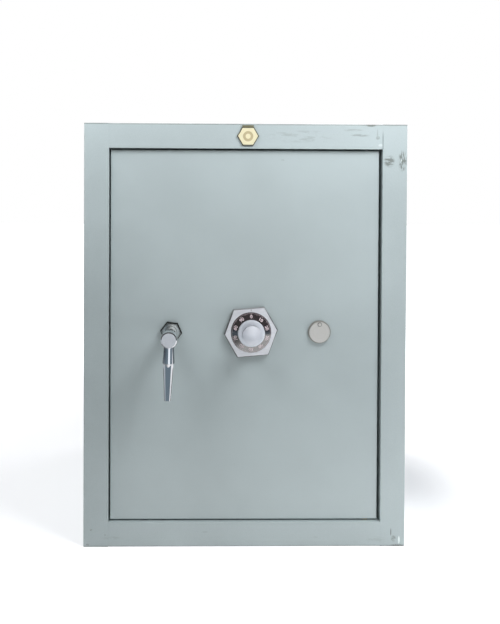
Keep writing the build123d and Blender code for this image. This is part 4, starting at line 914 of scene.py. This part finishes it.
# %% Badge ring
zone = bmesh.new()
on_field = facing_front(badge_x, badge_front - FIELD_THICKNESS, badge_z - 0.0004)
bmesh.ops.create_circle(zone, segments=96, radius=0.0083, matrix=on_field)
wide = bmesh.ops.extrude_edge_only(zone, edges=zone.edges[:])
inner = [part for part in wide["geom"] if isinstance(part, bmesh.types.BMVert)]
centre = Matrix.Translation((-badge_x, 0, 0.0004 - badge_z))
bmesh.ops.scale(zone, vec=(0.50, 1, 0.50), space=centre, verts=inner)
thicken(zone, (0, -0.0001, 0))
badge_zone = to_object(zone, "badge_zone", tan, "safe_body")
print("badge ring faces:", len(badge_zone.data.polygons))

# %% [markdown]
# ## Badge lip
#
# The plate's top edge is turned over into a small lip, which shows as a paler line above the badge. It
# is a bar with its long edges bevelled, because folded sheet has no sharp edge.

# %% Badge lip
lip = bmesh.new()
lip_size = Matrix.Diagonal((0.0184, FRONT - badge_front + 0.0002, 0.0032, 1))
lip_place = Matrix.Translation((badge_x, (FRONT + badge_front - 0.0002) / 2, badge_high[2] + 0.0005))
bmesh.ops.create_cube(lip, size=1, matrix=lip_place @ lip_size)
long_edges = [edge for edge in lip.edges if abs((edge.verts[0].co - edge.verts[1].co).x) > 0.01]
bmesh.ops.bevel(lip, geom=long_edges, offset=0.0003, segments=2, profile=0.5, affect="EDGES", material=-1)
badge_lip = to_object(lip, "badge_lip", olive_lip, "safe_body")
print("lip faces:", len(badge_lip.data.polygons))

# %% [markdown]
# ## The dial's cone
#
# The dial's marks are printed on a cone, so each one is laid in a frame of its own: one axis round the
# dial, one up the slope of the cone and one out of it.

# %% The dial's cone
dial_low, dial_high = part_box("dial_plate")
knob_low, knob_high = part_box("dial_knob")
DIAL_RADIUS = (dial_high[0] - dial_low[0]) / 2
FLANGE_RADIUS = (knob_high[0] - knob_low[0]) / 2
CONE_FRONT = dial_low[1]
CONE_BACK = CONE_FRONT + 0.006
axis_x, axis_z = dial_centre


def cone_frame(turn, radius):
    """A frame on the dial's cone, at an angle from the top and a distance from the axis."""
    out = Vector((sin(turn), 0, cos(turn)))
    round_dial = Vector((cos(turn), 0, -sin(turn)))
    back = Vector((0, 1, 0))
    slope = (out * (DIAL_RADIUS - FLANGE_RADIUS) + back * (CONE_BACK - CONE_FRONT)).normalized()
    normal = round_dial.cross(slope)
    share = (radius - FLANGE_RADIUS) / (DIAL_RADIUS - FLANGE_RADIUS)
    depth = CONE_FRONT + share * (CONE_BACK - CONE_FRONT)
    spot = Vector((axis_x, depth, axis_z)) + out * radius
    lay = Matrix((round_dial, slope, normal)).transposed().to_4x4()
    return Matrix.Translation(spot) @ lay


print("dial radius in mm:", round(1000 * DIAL_RADIUS, 2), "flange:", round(1000 * FLANGE_RADIUS, 2))

# %% [markdown]
# ## Graduations
#
# The dial has a hundred graduations, longer at every fifth and longest at every tenth. They are thin
# blocks of a few faces each, so all of them together stay light. They turn with the dial.

# %% Graduations
marks = bmesh.new()
for number in range(100):
    long = 0.0029 if number % 10 == 0 else 0.0022 if number % 5 == 0 else 0.0015
    thick = 0.00050 if number % 10 == 0 else 0.00034
    spot = cone_frame(2 * pi * number / 100, DIAL_RADIUS - 0.0006 - long / 2)
    bmesh.ops.create_cube(marks, size=1, matrix=spot @ Matrix.Diagonal((thick, long, 0.00016, 1)))
graduations = to_object(marks, "dial_graduations", ink, "dial")
print("graduation faces:", len(graduations.data.polygons))

# %% [markdown]
# ## Dial numbers
#
# Every tenth graduation has its number. A number is text, which Blender draws as a curve, so it is made
# a mesh first and then laid on the cone.

# %% Dial numbers
figures = bmesh.new()
for tens in range(10):
    words = bpy.data.curves.new("figure", "FONT")
    words.body = str(tens * 10)
    words.size = 0.0078
    words.align_x = "CENTER"
    words.align_y = "CENTER"
    words.extrude = 0.00007
    words.offset = 0.00012
    words.resolution_u = 4
    text = bpy.data.objects.new("figure", words)
    bpy.context.scene.collection.objects.link(text)
    bpy.context.view_layer.update()
    solid = bpy.data.meshes.new_from_object(text.evaluated_get(bpy.context.evaluated_depsgraph_get()))
    solid.transform(cone_frame(2 * pi * tens / 10, DIAL_RADIUS - 0.0064))
    figures.from_mesh(solid)
    bpy.data.objects.remove(text)
    bpy.data.meshes.remove(solid)
numbers = to_object(figures, "dial_numbers", ink, "dial")
print("number faces:", len(numbers.data.polygons))

# %% [markdown]
# ## Index mark
#
# The ring has a short groove at the top, which the dial is read against. It is filled with dark paint,
# so a thin strip lies in it, just under the ring's face.

# %% Index mark
ring_low, ring_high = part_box("dial_ring")
mark = bmesh.new()
mark_size = Matrix.Diagonal((0.00058, 0.0003, 0.0029, 1))
mark_place = Matrix.Translation((axis_x, ring_low[1] + 0.00022, axis_z + DIAL_RADIUS + 0.0035))
bmesh.ops.create_cube(mark, size=1, matrix=mark_place @ mark_size)
index_fill = to_object(mark, "index_fill", mark_paint, "door")
print("index mark at z in mm:", round(1000 * (axis_z + DIAL_RADIUS + 0.0035), 1))

# %% [markdown]
# ## Screw blank
#
# The CAD screws are plain heads and shanks. The real ones are pan heads with a cross recess. A screw is
# a turned part, so half of its outline is spun round the axis, and the doubled points on the axis are
# merged to close it.

# %% Screw blank
HEAD_RADIUS = 0.0045
HEAD_HEIGHT = 0.0024
SHANK_RADIUS = 0.002
SHANK_LENGTH = 0.006

profile = [
    (0, 0.0023),
    (0.0016, 0.0023),
    (0.0030, 0.00215),
    (0.0039, 0.0017),
    (0.0044, 0.0009),
    (HEAD_RADIUS, 0.0003),
    (0.0044, 0),
    (SHANK_RADIUS, 0),
    (SHANK_RADIUS, -SHANK_LENGTH + 0.0005),
    (0.0016, -SHANK_LENGTH),
    (0, -SHANK_LENGTH),
]
screw = bmesh.new()
verts = [screw.verts.new((radius, 0, height)) for radius, height in profile]
lines = [screw.edges.new(pair) for pair in zip(verts, verts[1:])]
bmesh.ops.spin(screw, geom=verts + lines, axis=(0, 0, 1), cent=(0, 0, 0), angle=2 * pi, steps=32, use_merge=True)
bmesh.ops.remove_doubles(screw, verts=screw.verts[:], dist=0.000001)
bmesh.ops.recalc_face_normals(screw, faces=screw.faces[:])
print("screw blank faces:", len(screw.faces))

# %% [markdown]
# ## Cross recess
#
# The recess is cut by a boolean with two crossed bars. The bars cross each other, so the boolean is told
# to expect a cutter that meets itself. The blank and the cutter are removed once the result is a mesh.

# %% Cross recess
def helper_object(mesh, name):
    """A bmesh as an object that is only needed for a while."""
    data = bpy.data.meshes.new(name)
    mesh.to_mesh(data)
    mesh.free()
    made = bpy.data.objects.new(name, data)
    bpy.context.scene.collection.objects.link(made)
    return made


cross = bmesh.new()
for quarter in range(2):
    bar = Matrix.Rotation(quarter * pi / 2, 4, "Z") @ Matrix.Translation((0, 0, 0.0019))
    bmesh.ops.create_cube(cross, size=1, matrix=bar @ Matrix.Diagonal((0.0044, 0.0009, 0.0020, 1)))
blank = helper_object(screw, "screw_blank")
cutter = helper_object(cross, "screw_cross")

cut = blank.modifiers.new("cut", "BOOLEAN")
cut.operation = "DIFFERENCE"
cut.solver = "EXACT"
cut.use_self = True
cut.object = cutter
bpy.context.view_layer.update()
screw_mesh = bpy.data.meshes.new_from_object(blank.evaluated_get(bpy.context.evaluated_depsgraph_get()))
bpy.data.objects.remove(blank)
bpy.data.objects.remove(cutter)
print("screw faces with its recess:", len(screw_mesh.polygons))

# %% [markdown]
# ## Screw seats
#
# Each CAD screw is a separate lump in one node, so walking from vertex to vertex along the edges finds
# the lumps, and the middle of each lump is a seat. The seats then follow the CAD by themselves.

# %% Screw seats
loose = bmesh.new()
loose.from_mesh(nodes["cover_screws"].data)
bmesh.ops.remove_doubles(loose, verts=loose.verts[:], dist=0.00001)
seats = []
left = set(loose.verts)
while left:
    group = [left.pop()]
    for vert in group:
        for edge in vert.link_edges:
            other = edge.other_vert(vert)
            if other in left:
                left.discard(other)
                group.append(other)
    spots = [vert.co for vert in group]
    middle = [(min(c[i] for c in spots) + max(c[i] for c in spots)) / 2 for i in (0, 2)]
    rear = max(c[1] for c in spots)
    seats.append((middle[0], rear - HEAD_HEIGHT, middle[1]))
loose.free()
print("screw seats:", len(seats))

# %% [markdown]
# ## Cover screws
#
# Identical fasteners should look identical, so every screw is a copy of the one mesh. Each is turned by
# another angle, because nobody lines up the recesses, and the set replaces the plain CAD screws.

# %% Cover screws
all_screws = bmesh.new()
for number, (x, y, z) in enumerate(sorted(seats)):
    spin_by = Matrix.Rotation(number * 1.13, 4, "Z")
    backward = Matrix.Rotation(radians(-90), 4, "X")
    copy = screw_mesh.copy()
    copy.transform(Matrix.Translation((x, y, z)) @ backward @ spin_by)
    all_screws.from_mesh(copy)
    bpy.data.meshes.remove(copy)
bpy.data.meshes.remove(screw_mesh)
screws = to_object(all_screws, "pan_head_screws", finishes["zinc_steel"], "door")
screws.data.polygons.foreach_set("use_smooth", [True] * len(screws.data.polygons))
screws.data.set_sharp_from_angle(angle=radians(40))
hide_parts("cover_screws")
print("screws:", len(seats), "triangles:", sum(len(p.vertices) - 2 for p in screws.data.polygons))

# %% [markdown]
# ## Last measurements
#
# The dressed safe must fill the same box as the CAD model. Both boxes are printed here.

# %% Last measurements
dressed_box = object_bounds()
sizes = {"cad": [list(corner) for corner in cad_box], "dressed": [list(corner) for corner in dressed_box]}
for label, (low, high) in sizes.items():
    print(label, [round(1000 * (b - a), 2) for a, b in zip(low, high)])
